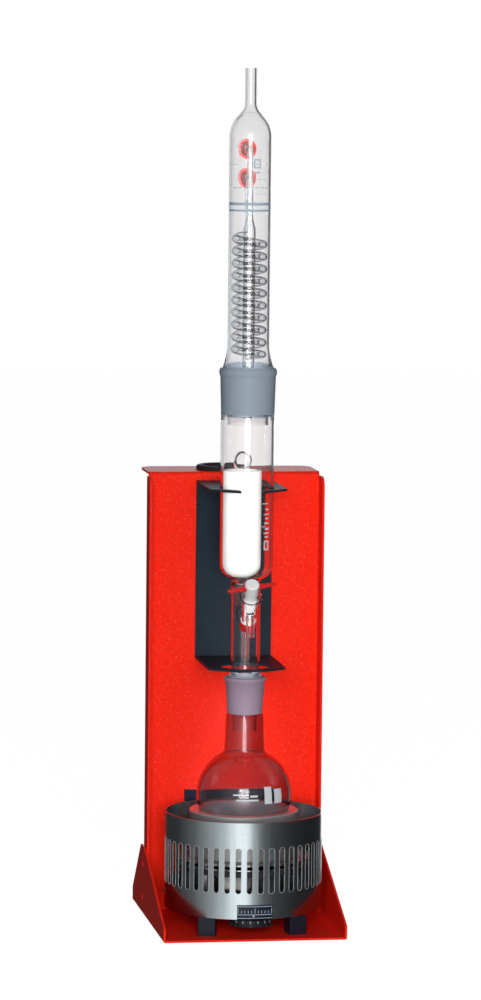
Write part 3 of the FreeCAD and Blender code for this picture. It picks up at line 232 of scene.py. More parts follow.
@dataclass(frozen=True)
class PowderCoat:
    """Baked textured paint on sheet metal, with painted highlights: pink specks that stand in for the glints
    of its texture.
    """

    name: str
    colour: Colour
    grain: float = 850.0
    depth: float = 0.00005
    rough: float = 0.42
    gloss: float = 0.18
    # specks sets how strongly the painted glints show; the two speck colours below are painted highlights.
    specks: float = 0.0
    dim_glint: Colour = (0.86, 0.22, 0.20)
    bright_glint: Colour = (0.90, 0.30, 0.28)
    glint_cells: float = 760.0
    glint_edge: Point = (0.62, 0.74)
    cloud_cells: float = 260.0
    tones: Point = (0.93, 1.06)
    sheen_cells: float = 600.0
    sheen: Point = (-0.07, 0.09)
    finer: float = 3.2
    flatter: float = 0.4

    def make(self) -> bpy.types.Material:
        """Builds the material.

        Returns:
            The material.
        """
        bench = ShaderBench(self.name)
        bench.set(Metallic=0.0, Specular_IOR_Level=self.gloss, IOR=1.5)
        tone = bench.spread(bench.noise(self.cloud_cells, detail=4.0), 0.0, 1.0)
        darker, lighter = (shade(self.colour, factor) for factor in self.tones)
        coat = bench.blend(tone, darker, lighter)
        # Painted highlight: pink specks mixed into the base colour stand in for glints on the textured coat.
        if self.specks > 0.0:
            dots = bench.noise(self.glint_cells, detail=2.0)
            light = bench.spread(dots, 0.0, self.specks, self.glint_edge)
            glints = bench.blend(tone, self.dim_glint, self.bright_glint)
            coat = bench.blend(light, coat, glints)
        bench.link(coat, "Base Color")
        bench.roughen(bench.noise(self.sheen_cells), self.rough, self.sheen)
        coarse = bench.noise(self.grain, detail=2.0)
        fine = bench.noise(self.grain * self.finer, detail=2.0)
        bench.relief((coarse, 0.55, self.depth), (fine, 0.35, self.depth * self.flatter))
        return bench.material


@dataclass(frozen=True)
class RolledSteel:
    """Sheet with a fine brushed grain that runs round the axis."""

    name: str
    colour: Colour = (0.56, 0.62, 0.64)
    rough: float = 0.22
    lines: float = 1.0
    stains: float = 0.10
    line_cells: float = 900.0
    line_bump: Point = (0.02, 0.00002)
    stain_cells: float = 28.0
    stain_edge: Point = (0.35, 0.7)
    sheen: Point = (-0.03, 0.04)
    wave_cells: float = 75.0
    wave_bump: Point = (0.10, 0.0003)

    def make(self) -> bpy.types.Material:
        """Builds the material.

        Returns:
            The material.
        """
        bench = ShaderBench(self.name)
        bench.set(Metallic=1.0)
        grain = bench.noise(self.line_cells, stretch=(0.05, 0.05, 3.0), detail=4.0)
        tone = bench.spread(bench.noise(self.stain_cells), 0.0, 1.0, self.stain_edge)
        stained = shade(self.colour, 1.0 - self.stains)
        bench.link(bench.blend(tone, self.colour, stained), "Base Color")
        bench.roughen(grain, self.rough, self.sheen)
        waves = bench.noise(self.wave_cells, stretch=(1.0, 1.0, 0.04), detail=2.0)
        strength, depth = self.line_bump
        bench.relief((grain, strength * self.lines, depth), (waves, *self.wave_bump))
        return bench.material


@dataclass(frozen=True)
class TurnedMetal:
    """Metal turned on a lathe, with fine rings."""

    name: str
    colour: Colour = (0.80, 0.79, 0.78)
    rough: float = 0.34
    rings: float = 1900.0
    metal: float = 1.0
    ring_bump: Point = (0.35, 0.00003)
    dust_cells: float = 90.0
    dusty: float = 0.86
    sheen: Point = (-0.05, 0.12)

    def make(self) -> bpy.types.Material:
        """Builds the material.

        Returns:
            The material.
        """
        bench = ShaderBench(self.name)
        bench.set(Metallic=self.metal)
        rings = bench.noise(self.rings, stretch=(0.02, 0.02, 1.0))
        dust = bench.noise(self.dust_cells, detail=4.0)
        bench.paint(dust, self.colour, self.dusty)
        bench.roughen(dust, self.rough, self.sheen)
        bench.relief((rings, *self.ring_bump))
        return bench.material


@dataclass(frozen=True)
class Band:
    """Ring of a turned glass piece by height and radius, in millimetres."""

    low: float
    high: float
    least_radius: float
    most_radius: float


@dataclass(frozen=True)
class LabGlass:
    """Blown laboratory glass that is clear and wavy, frosted where a joint is ground and darkened at its
    rims by painted shade.
    """

    name: str
    tint: Colour = (0.925, 0.915, 0.92)
    # The edge colour and the start after it are a painted shade: the glass darkens towards its rims at
    # grazing angles.
    edge: Colour = (0.46, 0.56, 0.60)
    painted_rim_start: float = 0.68
    frost: Colour = (0.40, 0.46, 0.52)
    frost_clear: float = 0.35
    frost_rough: float = 0.55
    bands: tuple[Band, ...] = ()
    wave: float = 0.12
    wave_cells: float = 45.0
    wave_depth: float = 0.0005
    grit_cells: float = 2600.0
    grit_shade: float = 0.93
    index: float = 1.47
    gloss: float = 0.25

    def make(self) -> bpy.types.Material:
        """Builds the material.

        Returns:
            The material.
        """
        bench = ShaderBench(self.name)
        bench.set(IOR=self.index, Specular_IOR_Level=self.gloss)
        # Painted shade: the base colour darkens towards the edge colour at grazing angles, standing in for
        # the dark rims of the glass.
        facing = bench.node("ShaderNodeLayerWeight", {"Blend": 0.5}).outputs["Facing"]
        rim = bench.spread(facing, 0.0, 1.0, (self.painted_rim_start, 1.0))
        clear = bench.blend(rim, self.tint, self.edge)
        waves = bench.noise(self.wave_cells, stretch=(1.0, 1.0, 0.5), detail=1.0)
        if not self.bands:
            bench.set(Transmission_Weight=1.0, Roughness=0.0)
            bench.link(clear, "Base Color")
            bench.relief((waves, self.wave, self.wave_depth))
            return bench.material
        ground = self.mask(bench)
        grit = bench.spread(bench.noise(self.grit_cells, stretch=(1.0, 1.0, 1.6)), 0.0, 1.0)
        frost = bench.blend(grit, self.frost, shade(self.frost, self.grit_shade))
        bench.link(bench.blend(ground, clear, frost), "Base Color")
        bench.link(bench.spread(ground, 1.0, self.frost_clear, (0.0, 1.0)), "Transmission Weight")
        bench.link(bench.spread(ground, 0.0, self.frost_rough, (0.0, 1.0)), "Roughness")
        bench.relief((waves, self.wave, self.wave_depth))
        return bench.material

    def mask(self, bench: ShaderBench) -> Socket:
        """Finds the ground bands.

        Args:
            bench: material to build in.

        Returns:
            A factor that is 1 in the bands and 0 elsewhere.
        """
        height = bench.node("ShaderNodeSeparateXYZ", {"Vector": bench.place()}).outputs["Z"]
        flat = {"Vector": bench.place((1.0, 1.0, 0.0))}
        radius = bench.node("ShaderNodeVectorMath", flat, operation="LENGTH").outputs["Value"]
        found: Socket | float = 0.0
        for band in self.bands:
            limits = ((height, band.low, band.high), (radius, band.least_radius, band.most_radius))
            near = [bench.number("COMPARE", value, (least + most) / 2 * MM, (most - least) / 2 * MM)
                    for value, least, most in limits]
            found = bench.number("MAXIMUM", bench.number("MULTIPLY", *near), found)
        return found


@dataclass(frozen=True)
class Moulded:
    """Moulded plastic or rubber with a fine skin."""

    name: str
    colour: Colour
    rough: float = 0.4
    grain: float = 1400.0
    depth: float = 0.00002
    soft: float = 0.0
    coat: float = 0.0
    cloud_cells: float = 120.0
    cloudy: float = 0.9
    sheen: Point = (-0.05, 0.08)
    bump: float = 0.35

    def make(self) -> bpy.types.Material:
        """Builds the material.

        Returns:
            The material.
        """
        bench = ShaderBench(self.name)
        bench.set(Metallic=0.0, IOR=1.48, Coat_Weight=self.coat, Coat_Roughness=0.08,
                  Subsurface_Weight=self.soft, Subsurface_Scale=0.003)
        skin = bench.noise(self.grain, detail=2.0)
        bench.paint(bench.noise(self.cloud_cells), self.colour, self.cloudy)
        bench.roughen(skin, self.rough, self.sheen)
        bench.relief((skin, self.bump, self.depth))
        return bench.material


@dataclass(frozen=True)
class FeltedPaper:
    """Thick felted filter paper with short fibres."""

    name: str
    colour: Colour = (0.80, 0.80, 0.775)
    felt_cells: float = 420.0
    felt_shade: float = 0.93
    felt_bump: Point = (0.5, 0.0002)
    fibre_cells: float = 1500.0
    fibre_bump: Point = (0.4, 0.00008)

    def make(self) -> bpy.types.Material:
        """Builds the material.

        Returns:
            The material.
        """
        bench = ShaderBench(self.name)
        bench.set(Roughness=0.95, IOR=1.35, Subsurface_Weight=0.15, Subsurface_Scale=0.002)
        felt = bench.noise(self.felt_cells, detail=6.0, rough=0.7)
        fibres = bench.noise(self.fibre_cells, stretch=(1.0, 1.0, 0.25))
        bench.paint(felt, self.colour, self.felt_shade)
        bench.relief((felt, *self.felt_bump), (fibres, *self.fibre_bump))
        return bench.material


@dataclass(frozen=True)
class MineralBoard:
    """Ceramic or pressed board."""

    name: str
    colour: Colour
    rough: float = 0.8
    speck_cells: float = 700.0
    speck_shade: float = 0.85
    speck_bump: Point = (0.4, 0.00006)
    sheen: Point = (-0.1, 0.1)

    def make(self) -> bpy.types.Material:
        """Builds the material.

        Returns:
            The material.
        """
        bench = ShaderBench(self.name)
        bench.set(IOR=1.5)
        specks = bench.noise(self.speck_cells, detail=5.0, rough=0.7)
        bench.paint(specks, self.colour, self.speck_shade)
        bench.roughen(specks, self.rough, self.sheen)
        bench.relief((specks, *self.speck_bump))
        return bench.material


class Finishes:
    """Makes each finish once and hands it out."""

    def __init__(self) -> None:
        """Lists the finishes of the unit."""
        recipes = [
            # The red coat carries the painted glints.
            PowderCoat("red_powder_coat", (0.84, 0.020, 0.007), specks=0.34),
            PowderCoat("black_powder_coat", (0.014, 0.022, 0.031), 1200.0, 0.00003, 0.5),
            RolledSteel("brushed_shell_steel"),
            RolledSteel("bright_shield_steel", (0.68, 0.68, 0.67), 0.25, 0.5),
            RolledSteel("heat_stained_steel", (0.22, 0.20, 0.19), 0.45, 0.3, 0.3),
            RolledSteel("zinc_steel", (0.62, 0.62, 0.62), 0.32, 0.3),
            TurnedMetal("turned_aluminium", metal=0.85),
            # Bright, part-diffuse steel for the slot lips: partly real cut edges, partly a painted highlight
            # along them.
            TurnedMetal("cut_steel_and_painted_highlight", (0.86, 0.88, 0.89), 0.36, metal=0.55),
            # The flask's frost colour is partly painted: grey ground glass with a purple cast that stands in
            # for the red panel seen through the joint.
            LabGlass("flask_glass", (0.64, 0.60, 0.62), frost=(0.42, 0.32, 0.40),
                     bands=(Band(193.0, 225.6, 12.0, 20.0),)),
            LabGlass("extractor_glass", (0.965, 0.935, 0.935), frost=(0.33, 0.385, 0.44),
                     bands=(Band(193.0, 226.8, 12.0, 15.2), Band(461.0, 501.4, 19.5, 27.0))),
            LabGlass("condenser_glass", frost=(0.33, 0.385, 0.44),
                     bands=(Band(461.0, 503.0, 19.5, 23.0),)),
            # The coil's darker edge colour is a stronger painted shade at its rims.
            LabGlass("coil_glass", (0.97, 0.98, 0.985), (0.16, 0.22, 0.26), 0.66, wave=0.03),
            FeltedPaper("felted_paper"),
            MineralBoard("white_ceramic", (0.86, 0.85, 0.81)),
            MineralBoard("dark_board", (0.035, 0.035, 0.04)),
            Moulded("white_fluoroplastic", (0.86, 0.86, 0.85), 0.35, soft=0.2),
            Moulded("glossy_red_plastic", (0.62, 0.012, 0.012), 0.22, coat=0.4),
            Moulded("black_plastic", (0.010, 0.010, 0.012), 0.42),
            Moulded("grey_foot_plastic", (0.005, 0.007, 0.014), 0.5),
            Moulded("dark_box_plastic", (0.008, 0.010, 0.030), 0.45, 900.0, 0.00005),
            Moulded("pale_nozzle_plastic", (0.72, 0.72, 0.68), 0.4, soft=0.1),
            Moulded("red_seal_rubber", (0.30, 0.04, 0.02), 0.6),
            Moulded("black_rubber", (0.012, 0.012, 0.013), 0.62, 700.0, 0.00006),
            Moulded("dark_scale_paint", (0.007, 0.009, 0.016), 0.38, 1000.0),
            Moulded("pale_marking_paint", (0.42, 0.52, 0.62), 0.5),
            Moulded("white_enamel", (0.62, 0.66, 0.68), 0.4),
            Moulded("pale_blue_enamel", (0.36, 0.46, 0.55), 0.4),
        ]
        self.made = {recipe.name: recipe.make() for recipe in recipes}

    def get(self, name: str) -> bpy.types.Material:
        """Gives a finish by its name."""
        return self.made[name]


def dress(node: str, material: bpy.types.Material) -> bpy.types.Object:
    """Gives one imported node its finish.

    Args:
        node: name of the node.
        material: its finish.

    Returns:
        The node's object.
    """
    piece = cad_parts[node]
    piece.data.materials.clear()
    piece.data.materials.append(material)
    LOG.info("dressed %s in %s", node, material.name)
    return piece


def soften(node: str, width: float, gap: float = 0.001, sharp: float = 50.0) -> None:
    """Rounds the sharp edges of a sheet-metal node a little.

    Args:
        node: name of the node.
        width: width of the rounding in millimetres.
        gap: widest gap between faces that are joined, in millimetres.
        sharp: least angle of an edge that is rounded, in degrees.
    """
    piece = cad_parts[node]
    piece.modifiers.new("joined_faces", "WELD").merge_threshold = gap * MM
    rounding = piece.modifiers.new("broken_edges", "BEVEL")
    rounding.width = width * MM
    rounding.segments = 2
    rounding.limit_method = "ANGLE"
    rounding.angle_limit = math.radians(sharp)
    rounding.harden_normals = True


def finished(name: str, made: bmesh.types.BMesh, finish: bpy.types.Material, body: Body) -> bpy.types.Object:
    """Turns a mesh that was built here into a dressed piece.

    Args:
        name: name of the piece.
        made: its mesh, which is freed.
        finish: its material.
        body: body that it rides on.

    Returns:
        The new piece.
    """
    bmesh.ops.recalc_face_normals(made, faces=made.faces)
    mesh = bpy.data.meshes.new(name)
    made.to_mesh(mesh)
    made.free()
    mesh.materials.append(finish)
    piece = bpy.data.objects.new(name, mesh)
    bpy.context.scene.collection.objects.link(piece)
    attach(piece, body.value)
    LOG.info("made %s with %d faces", name, len(mesh.polygons))
    return piece


def add_block(made: bmesh.types.BMesh, centre: Vector, reach: Vector, share: float = 0.3) -> None:
    """Adds a block with broken corners to a mesh.

    Args:
        made: mesh that takes the block.
        centre: its centre in millimetres.
        reach: half of its size along each axis in millimetres.
        share: width of the broken corners as a share of the least reach.
    """
    new = bmesh.ops.create_cube(made, size=2.0)["verts"]
    for vertex in new:
        sides = zip(centre, vertex.co, reach)
        vertex.co = Vector([(middle + way * half) * MM for middle, way, half in sides])
    edges = list({edge for vertex in new for edge in vertex.link_edges})
    bmesh.ops.bevel(made, geom=edges, offset=min(reach) * share * MM, segments=1, affect="EDGES")


@dataclass(frozen=True)
class Thread:
    """Screw thread in millimetres, with its steps in a turn and where it fades in and out."""

    length: float
    core: float
    pitch: float
    depth: float
    steps: int = 24
    fade_steps: int = 6
    flank: float = 0.42
    root: float = -0.05


def add_helix(made: bmesh.types.BMesh, start: Vector, thread: Thread) -> None:
    """Adds a screw thread that runs to the rear.

    Args:
        made: mesh that takes the thread.
        start: centre of its first turn in millimetres.
        thread: its sizes.
    """
    count = math.ceil(thread.length / thread.pitch * thread.steps)
    profile = ((-thread.flank, thread.root), (0.0, 1.0), (thread.flank, thread.root))
    rings = []
    for step in range(count + 1):
        turn = 2 * math.pi * step / thread.steps
        along = min(thread.length, thread.pitch * step / thread.steps)
        fade = min(1.0, step / thread.fade_steps, (count - step) / thread.fade_steps)
        ring = []
        for shift, rise in profile:
            out = thread.core + thread.depth * max(rise * fade, thread.root)
            place = start + Vector((
                out * math.cos(turn), along + shift * thread.pitch, out * math.sin(turn)))
            ring.append(made.verts.new(place * MM))
        rings.append(ring)
    for first, second in zip(rings, rings[1:]):
        for low, high in ((0, 1), (1, 2), (2, 0)):
            made.faces.new((first[low], second[low], second[high], first[high]))
    made.faces.new(rings[0])
    made.faces.new(rings[-1][::-1])


@dataclass
class Stand:
    """Folded red stand with its rivets and the hose grommet."""

    finishes: Finishes

    def build(self) -> None:
        """Dresses the stand."""
        red = self.finishes.get("red_powder_coat")
        for node in ("base_tray", "back_panel", "gusset_rivets"):
            dress(node, red)
        for node in ("base_tray", "back_panel"):
            soften(node, 0.35)
        dress("hose_grommet", self.finishes.get("black_rubber"))


@dataclass
class Holder:
    """Black folded holder with its washers and nuts."""

    finishes: Finishes
    stud_across: float = 22.0
    stud_heights: Point = (258.65, 368.65)
    stud_start: float = 80.6
    thread: Thread = Thread(length=1.5, core=2.5, pitch=0.7, depth=0.16)

    def build(self) -> None:
        """Dresses the holder."""
        dress("holder_bracket", self.finishes.get("black_powder_coat"))
        soften("holder_bracket", 0.25)
        dress("holder_washers", self.finishes.get("zinc_steel"))
        dress("holder_nuts", self.finishes.get("zinc_steel"))
        self.thread_studs()

    def thread_studs(self) -> None:
        """Cuts a thread on the end of the four studs behind the panel."""
        made = bmesh.new()
        for across in (-self.stud_across, self.stud_across):
            for height in self.stud_heights:
                add_helix(made, Vector((across, self.stud_start, height)), self.thread)
        black = self.finishes.get("black_powder_coat")
        finished("stud_threads", made, black, Body.UNIT)


@dataclass
class Heater:
    """Slotted heater with its bowl, insides, dial and connection box."""

    finishes: Finishes
    wear: dict[str, str] = field(default_factory=lambda: {
        "heater_base": "brushed_shell_steel",
        "heater_feet": "grey_foot_plastic",
        "foot_screws": "zinc_steel",
        "heater_shell": "brushed_shell_steel",
        "shell_screws": "zinc_steel",
        "scale_plate": "dark_scale_paint",
        "support_posts": "zinc_steel",
        "insulating_plate": "dark_board",
        "shield_spacers": "zinc_steel",
        "heat_shields": "bright_shield_steel",
        "heating_element": "heat_stained_steel",
        "terminal_block": "white_ceramic",
        "heater_bowl": "turned_aluminium",
        "power_regulator": "black_plastic",
        "dial_shaft": "zinc_steel",
        "control_dial": "black_plastic",
        "connection_box": "dark_box_plastic",
        "mains_inlet": "black_plastic",
    })
    shell_radius: float = 70.3
    slot_count: int = 44
    slot_width: float = 4.9
    slot_low: float = 41.4
    slot_high: float = 81.6
    lip_steps: int = 10
    lip_profile: tuple[Point, ...] = ((0.42, -0.05), (0.30, 0.09), (0.12, 0.09), (-0.02, -0.10))
    screw_face: float = 71.85
    screw_height: float = 34.0
    cross_depth: float = 0.28
    cross_width: float = 0.35
    cross_reach: float = 1.3

    def build(self) -> None:
        """Dresses every piece of the heater."""
        for node, finish in self.wear.items():
            dress(node, self.finishes.get(finish))
        self.lip_slots()
        self.cross_screws()

    def lip_slots(self) -> None:
        """Runs a narrow rolled lip round every cooling slot of the shell, in a bright steel that is partly a
        painted highlight along the slot edges.
        """
        made = bmesh.new()
        for count in range(self.slot_count):
            self.lip(made, math.radians(360.0 * (count + 0.5) / self.slot_count))
        bright = self.finishes.get("cut_steel_and_painted_highlight")
        finished("slot_lips", made, bright, Body.UNIT)

    def lip(self, made: bmesh.types.BMesh, turn: float) -> None:
        """Adds the lip of one slot.

        Args:
            made: mesh that takes the lip.
            turn: angle of the slot from the front, in radians.
        """
        end = self.slot_width / 2
        rings = []
        for upper in (True, False):
            centre = self.slot_high - end if upper else self.slot_low + end
            for step in range(self.lip_steps + 1):
                bend = math.pi * step / self.lip_steps + (0.0 if upper else math.pi)
                ring = []
                for out, rise in self.lip_profile:
                    across = (end + out) * math.cos(bend)
                    height = centre + (end + out) * math.sin(bend)
                    angle = turn + across / self.shell_radius
                    radius = self.shell_radius + rise
                    place = Vector((radius * math.sin(angle), -radius * math.cos(angle), height))
                    ring.append(made.verts.new(place * MM))
                rings.append(ring)
        for first, second in zip(rings, rings[1:] + rings[:1]):
            for low, high in zip(range(len(first)), [*range(1, len(first)), 0]):
                made.faces.new((first[low], second[low], second[high], first[high]))

    def cross_screws(self) -> None:
        """Sinks a black cross into the head of both shell screws as painted shade for their cross recesses.
        """
        made = bmesh.new()
        for side in (-1.0, 1.0):
            centre = Vector((side * self.screw_face, 0.0, self.screw_height))
            bar = (self.cross_width, self.cross_reach)
            for reach in (bar, bar[::-1]):
                add_block(made, centre, Vector((self.cross_depth, *reach)))
        # Painted shade: black blocks stand in for the shaded cross recesses.
        recess_shade = self.finishes.get("black_plastic")
        finished("screw_cross_shades", made, recess_shade, Body.UNIT)


def turned(name: str, profile: list[Point], segments: int) -> bpy.types.Object:
    """Turns an outline round the upright axis.

    Args:
        name: name of the new piece.
        profile: radius and height of each point in millimetres, from axis to axis.
        segments: number of steps round the axis.

    Returns:
        The new piece, smooth and closed.
    """
    made = bmesh.new()
    rings = []
    for radius, height in profile:
        if radius < ON_AXIS:
            rings.append([made.verts.new((0.0, 0.0, height * MM))])
            continue
        turns = [2 * math.pi * count / segments for count in range(segments)]
        places = [(radius * math.cos(turn) * MM, radius * math.sin(turn) * MM, height * MM)
                  for turn in turns]
        rings.append([made.verts.new(place) for place in places])
    for lower, upper in zip(rings, rings[1:]):
        for count in range(segments):
            after = (count + 1) % segments
            ring = [lower[count % len(lower)], lower[after % len(lower)],
                    upper[after % len(upper)], upper[count % len(upper)]]
            made.faces.new(list(dict.fromkeys(ring)))
    for face in made.faces:
        face.smooth = True
    mesh = bpy.data.meshes.new(name)
    made.to_mesh(mesh)
    made.free()
    piece = bpy.data.objects.new(name, mesh)
    bpy.context.scene.collection.objects.link(piece)
    return piece


@dataclass
class BlownFlask:
    """Round-bottom flask with a tapered ground socket, in millimetres."""

    finishes: Finishes
    centre: float = 119.2
    ball: float = 42.5
    wall: float = 1.8
    fillet: float = 5.0
    neck_low: float = 18.0
    neck_high: float = 16.9
    neck_end: float = 189.0
    socket_low: float = 193.4
    socket_low_radius: float = 15.6
    socket_high_radius: float = 17.7
    bead: float = 19.1
    bead_low: float = 221.6
    rim: float = 225.4
    bore_low: float = 13.0
    bore_high: float = 14.6
    bore_edge: float = 0.3
    shoulder: tuple[Point, ...] = ((0.0, 0.0), (0.12, 1.4), (0.45, 2.8), (0.95, 3.9))
    shoulder_foot: float = 0.4
    bead_curve: tuple[Point, ...] = ((0.55, 0.5), (0.12, 1.1), (0.0, 1.9), (0.12, 2.7))
    rim_curve: tuple[Point, ...] = ((0.6, 0.25), (1.5, 0.0))
    throat: tuple[Point, ...] = ((0.0, -2.0), (0.5, 1.0))
    throat_end: float = 0.8
    ball_steps: int = 56
    fillet_steps: int = 8
    segments: int = 128

    def build(self) -> None:
        """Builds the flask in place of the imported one."""
        outer = self.body(self.ball, self.neck_low, self.fillet)
        outer += [(self.neck_high - inset, self.neck_end + rise) for inset, rise in self.shoulder]
        outer += [(self.socket_low_radius, self.socket_low + self.shoulder_foot),
                  (self.socket_high_radius, self.bead_low)]
        outer += [(self.bead - inset, self.bead_low + rise) for inset, rise in self.bead_curve]
        outer += [(self.bead - inset, self.rim - drop) for inset, drop in self.rim_curve]
        inner = self.body(self.ball - self.wall, self.neck_low - self.wall, self.fillet + self.wall)
        inner += [(self.neck_high - self.wall - inset, self.neck_end + rise)
                  for inset, rise in self.throat]
        inner += [
            (self.bore_low + self.bore_edge, self.socket_low - self.throat_end),
            (self.bore_low, self.socket_low),
            (self.bore_high, self.rim - self.bore_edge),
            (self.bore_high + self.bore_edge, self.rim),
        ]
        flask = turned("blown_flask", outer + inner[::-1], self.segments)
        flask.data.materials.append(self.finishes.get("flask_glass"))
        flask.visible_shadow = False
        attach(flask, Body.UNIT.value)
        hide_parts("flask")
        LOG.info("blew the flask with %d faces", len(flask.data.polygons))

    def body(self, ball: float, neck: float, fillet: float) -> list[Point]:
        """Outline of the ball and its blend into the neck.

        Args:
            ball: radius of the ball.
            neck: radius of the neck above it.
            fillet: radius of the blend.

        Returns:
            The points from the bottom of the ball to the neck.
        """
        reach = ball + fillet
        rise = math.sqrt(reach ** 2 - (neck + fillet) ** 2)
        top = math.atan2(rise, neck + fillet)
        points = []
        for count in range(self.ball_steps + 1):
            turn = -math.pi / 2 + (top + math.pi / 2) * count / self.ball_steps
            radius = max(0.0, ball * math.cos(turn)) if count else 0.0
            points.append((radius, self.centre + ball * math.sin(turn)))
        for count in range(1, self.fillet_steps + 1):
            turn = math.pi + top - top * count / self.fillet_steps
            points.append((neck + fillet + fillet * math.cos(turn),
                           self.centre + rise + fillet * math.sin(turn)))
        return points


@dataclass
class Glassware:
    """Flask, extractor, thimble and condenser with their ground joints."""

    finishes: Finishes
    coil: Band = Band(480.0, 700.0, 0.0, 16.4)

    def build(self) -> None:
        """Dresses the glass and gives the coil its own finish."""
        for node in ("flask", "extractor", "condenser"):
            piece = dress(node, self.finishes.get(f"{node}_glass"))
            piece.visible_shadow = False
        self.line_coil()
        BlownFlask(self.finishes).build()
        dress("thimble", self.finishes.get("felted_paper"))

    def line_coil(self) -> None:
        """Gives the faces of the coil and the core tube the coil's finish."""
        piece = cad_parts["condenser"]
        piece.data.materials.append(self.finishes.get("coil_glass"))
        count = 0
        for face in piece.data.polygons:
            centre = face.center / MM
            radius = math.hypot(centre.x, centre.y)
            if self.coil.low < centre.z < self.coil.high and radius < self.coil.most_radius:
                face.material_index = 1
                count += 1
        LOG.info("coil finish on %d faces", count)


@dataclass
class Fittings:
    """Stopcock and the condenser's screw caps, seals and nozzles."""

    finishes: Finishes
    wear: dict[str, str] = field(default_factory=lambda: {
        "stopcock_plug": "white_fluoroplastic",
        "stopcock_handle": "glossy_red_plastic",
        "stopcock_washer": "white_fluoroplastic",
        "stopcock_o_ring": "black_rubber",
        "stopcock_nut": "glossy_red_plastic",
        "port_seals": "red_seal_rubber",
        "hose_nozzles": "pale_nozzle_plastic",
        "condenser_caps": "glossy_red_plastic",
    })

    def build(self) -> None:
        """Dresses the fittings."""
        for node, finish in self.wear.items():
            dress(node, self.finishes.get(finish))


@dataclass(frozen=True)
class Mark:
    """One printed field on a turned surface: angles from the front, heights in millimetres."""

    left: float
    right: float
    low: float
    high: float
    taper: float = 1.0


@dataclass(frozen=True)
class Print:
    """Set of marks printed in one colour on one node."""

    name: str
    node: str
    slot: str
    finish: str
    marks: tuple[Mark, ...]
    body: Body = Body.UNIT
    centre: Point = (0.0, 0.0)


def ring_of(left: float, right: float, low: float, high: float, line: float,
            line_turn: float) -> tuple[Mark, ...]:
    """Makes the four sides of a small rectangle.

    Args:
        left: angle of the left side.
        right: angle of the right side.
        low: height of the lower side.
        high: height of the upper side.
        line: width of the level lines in millimetres.
        line_turn: width of the upright lines in degrees.

    Returns:
        The four marks.
    """
    return (
        Mark(left, right, high - line, high),
        Mark(left, right, low, low + line),
        Mark(left, left + line_turn, low + line, high - line),
        Mark(right - line_turn, right, low + line, high - line),
    )


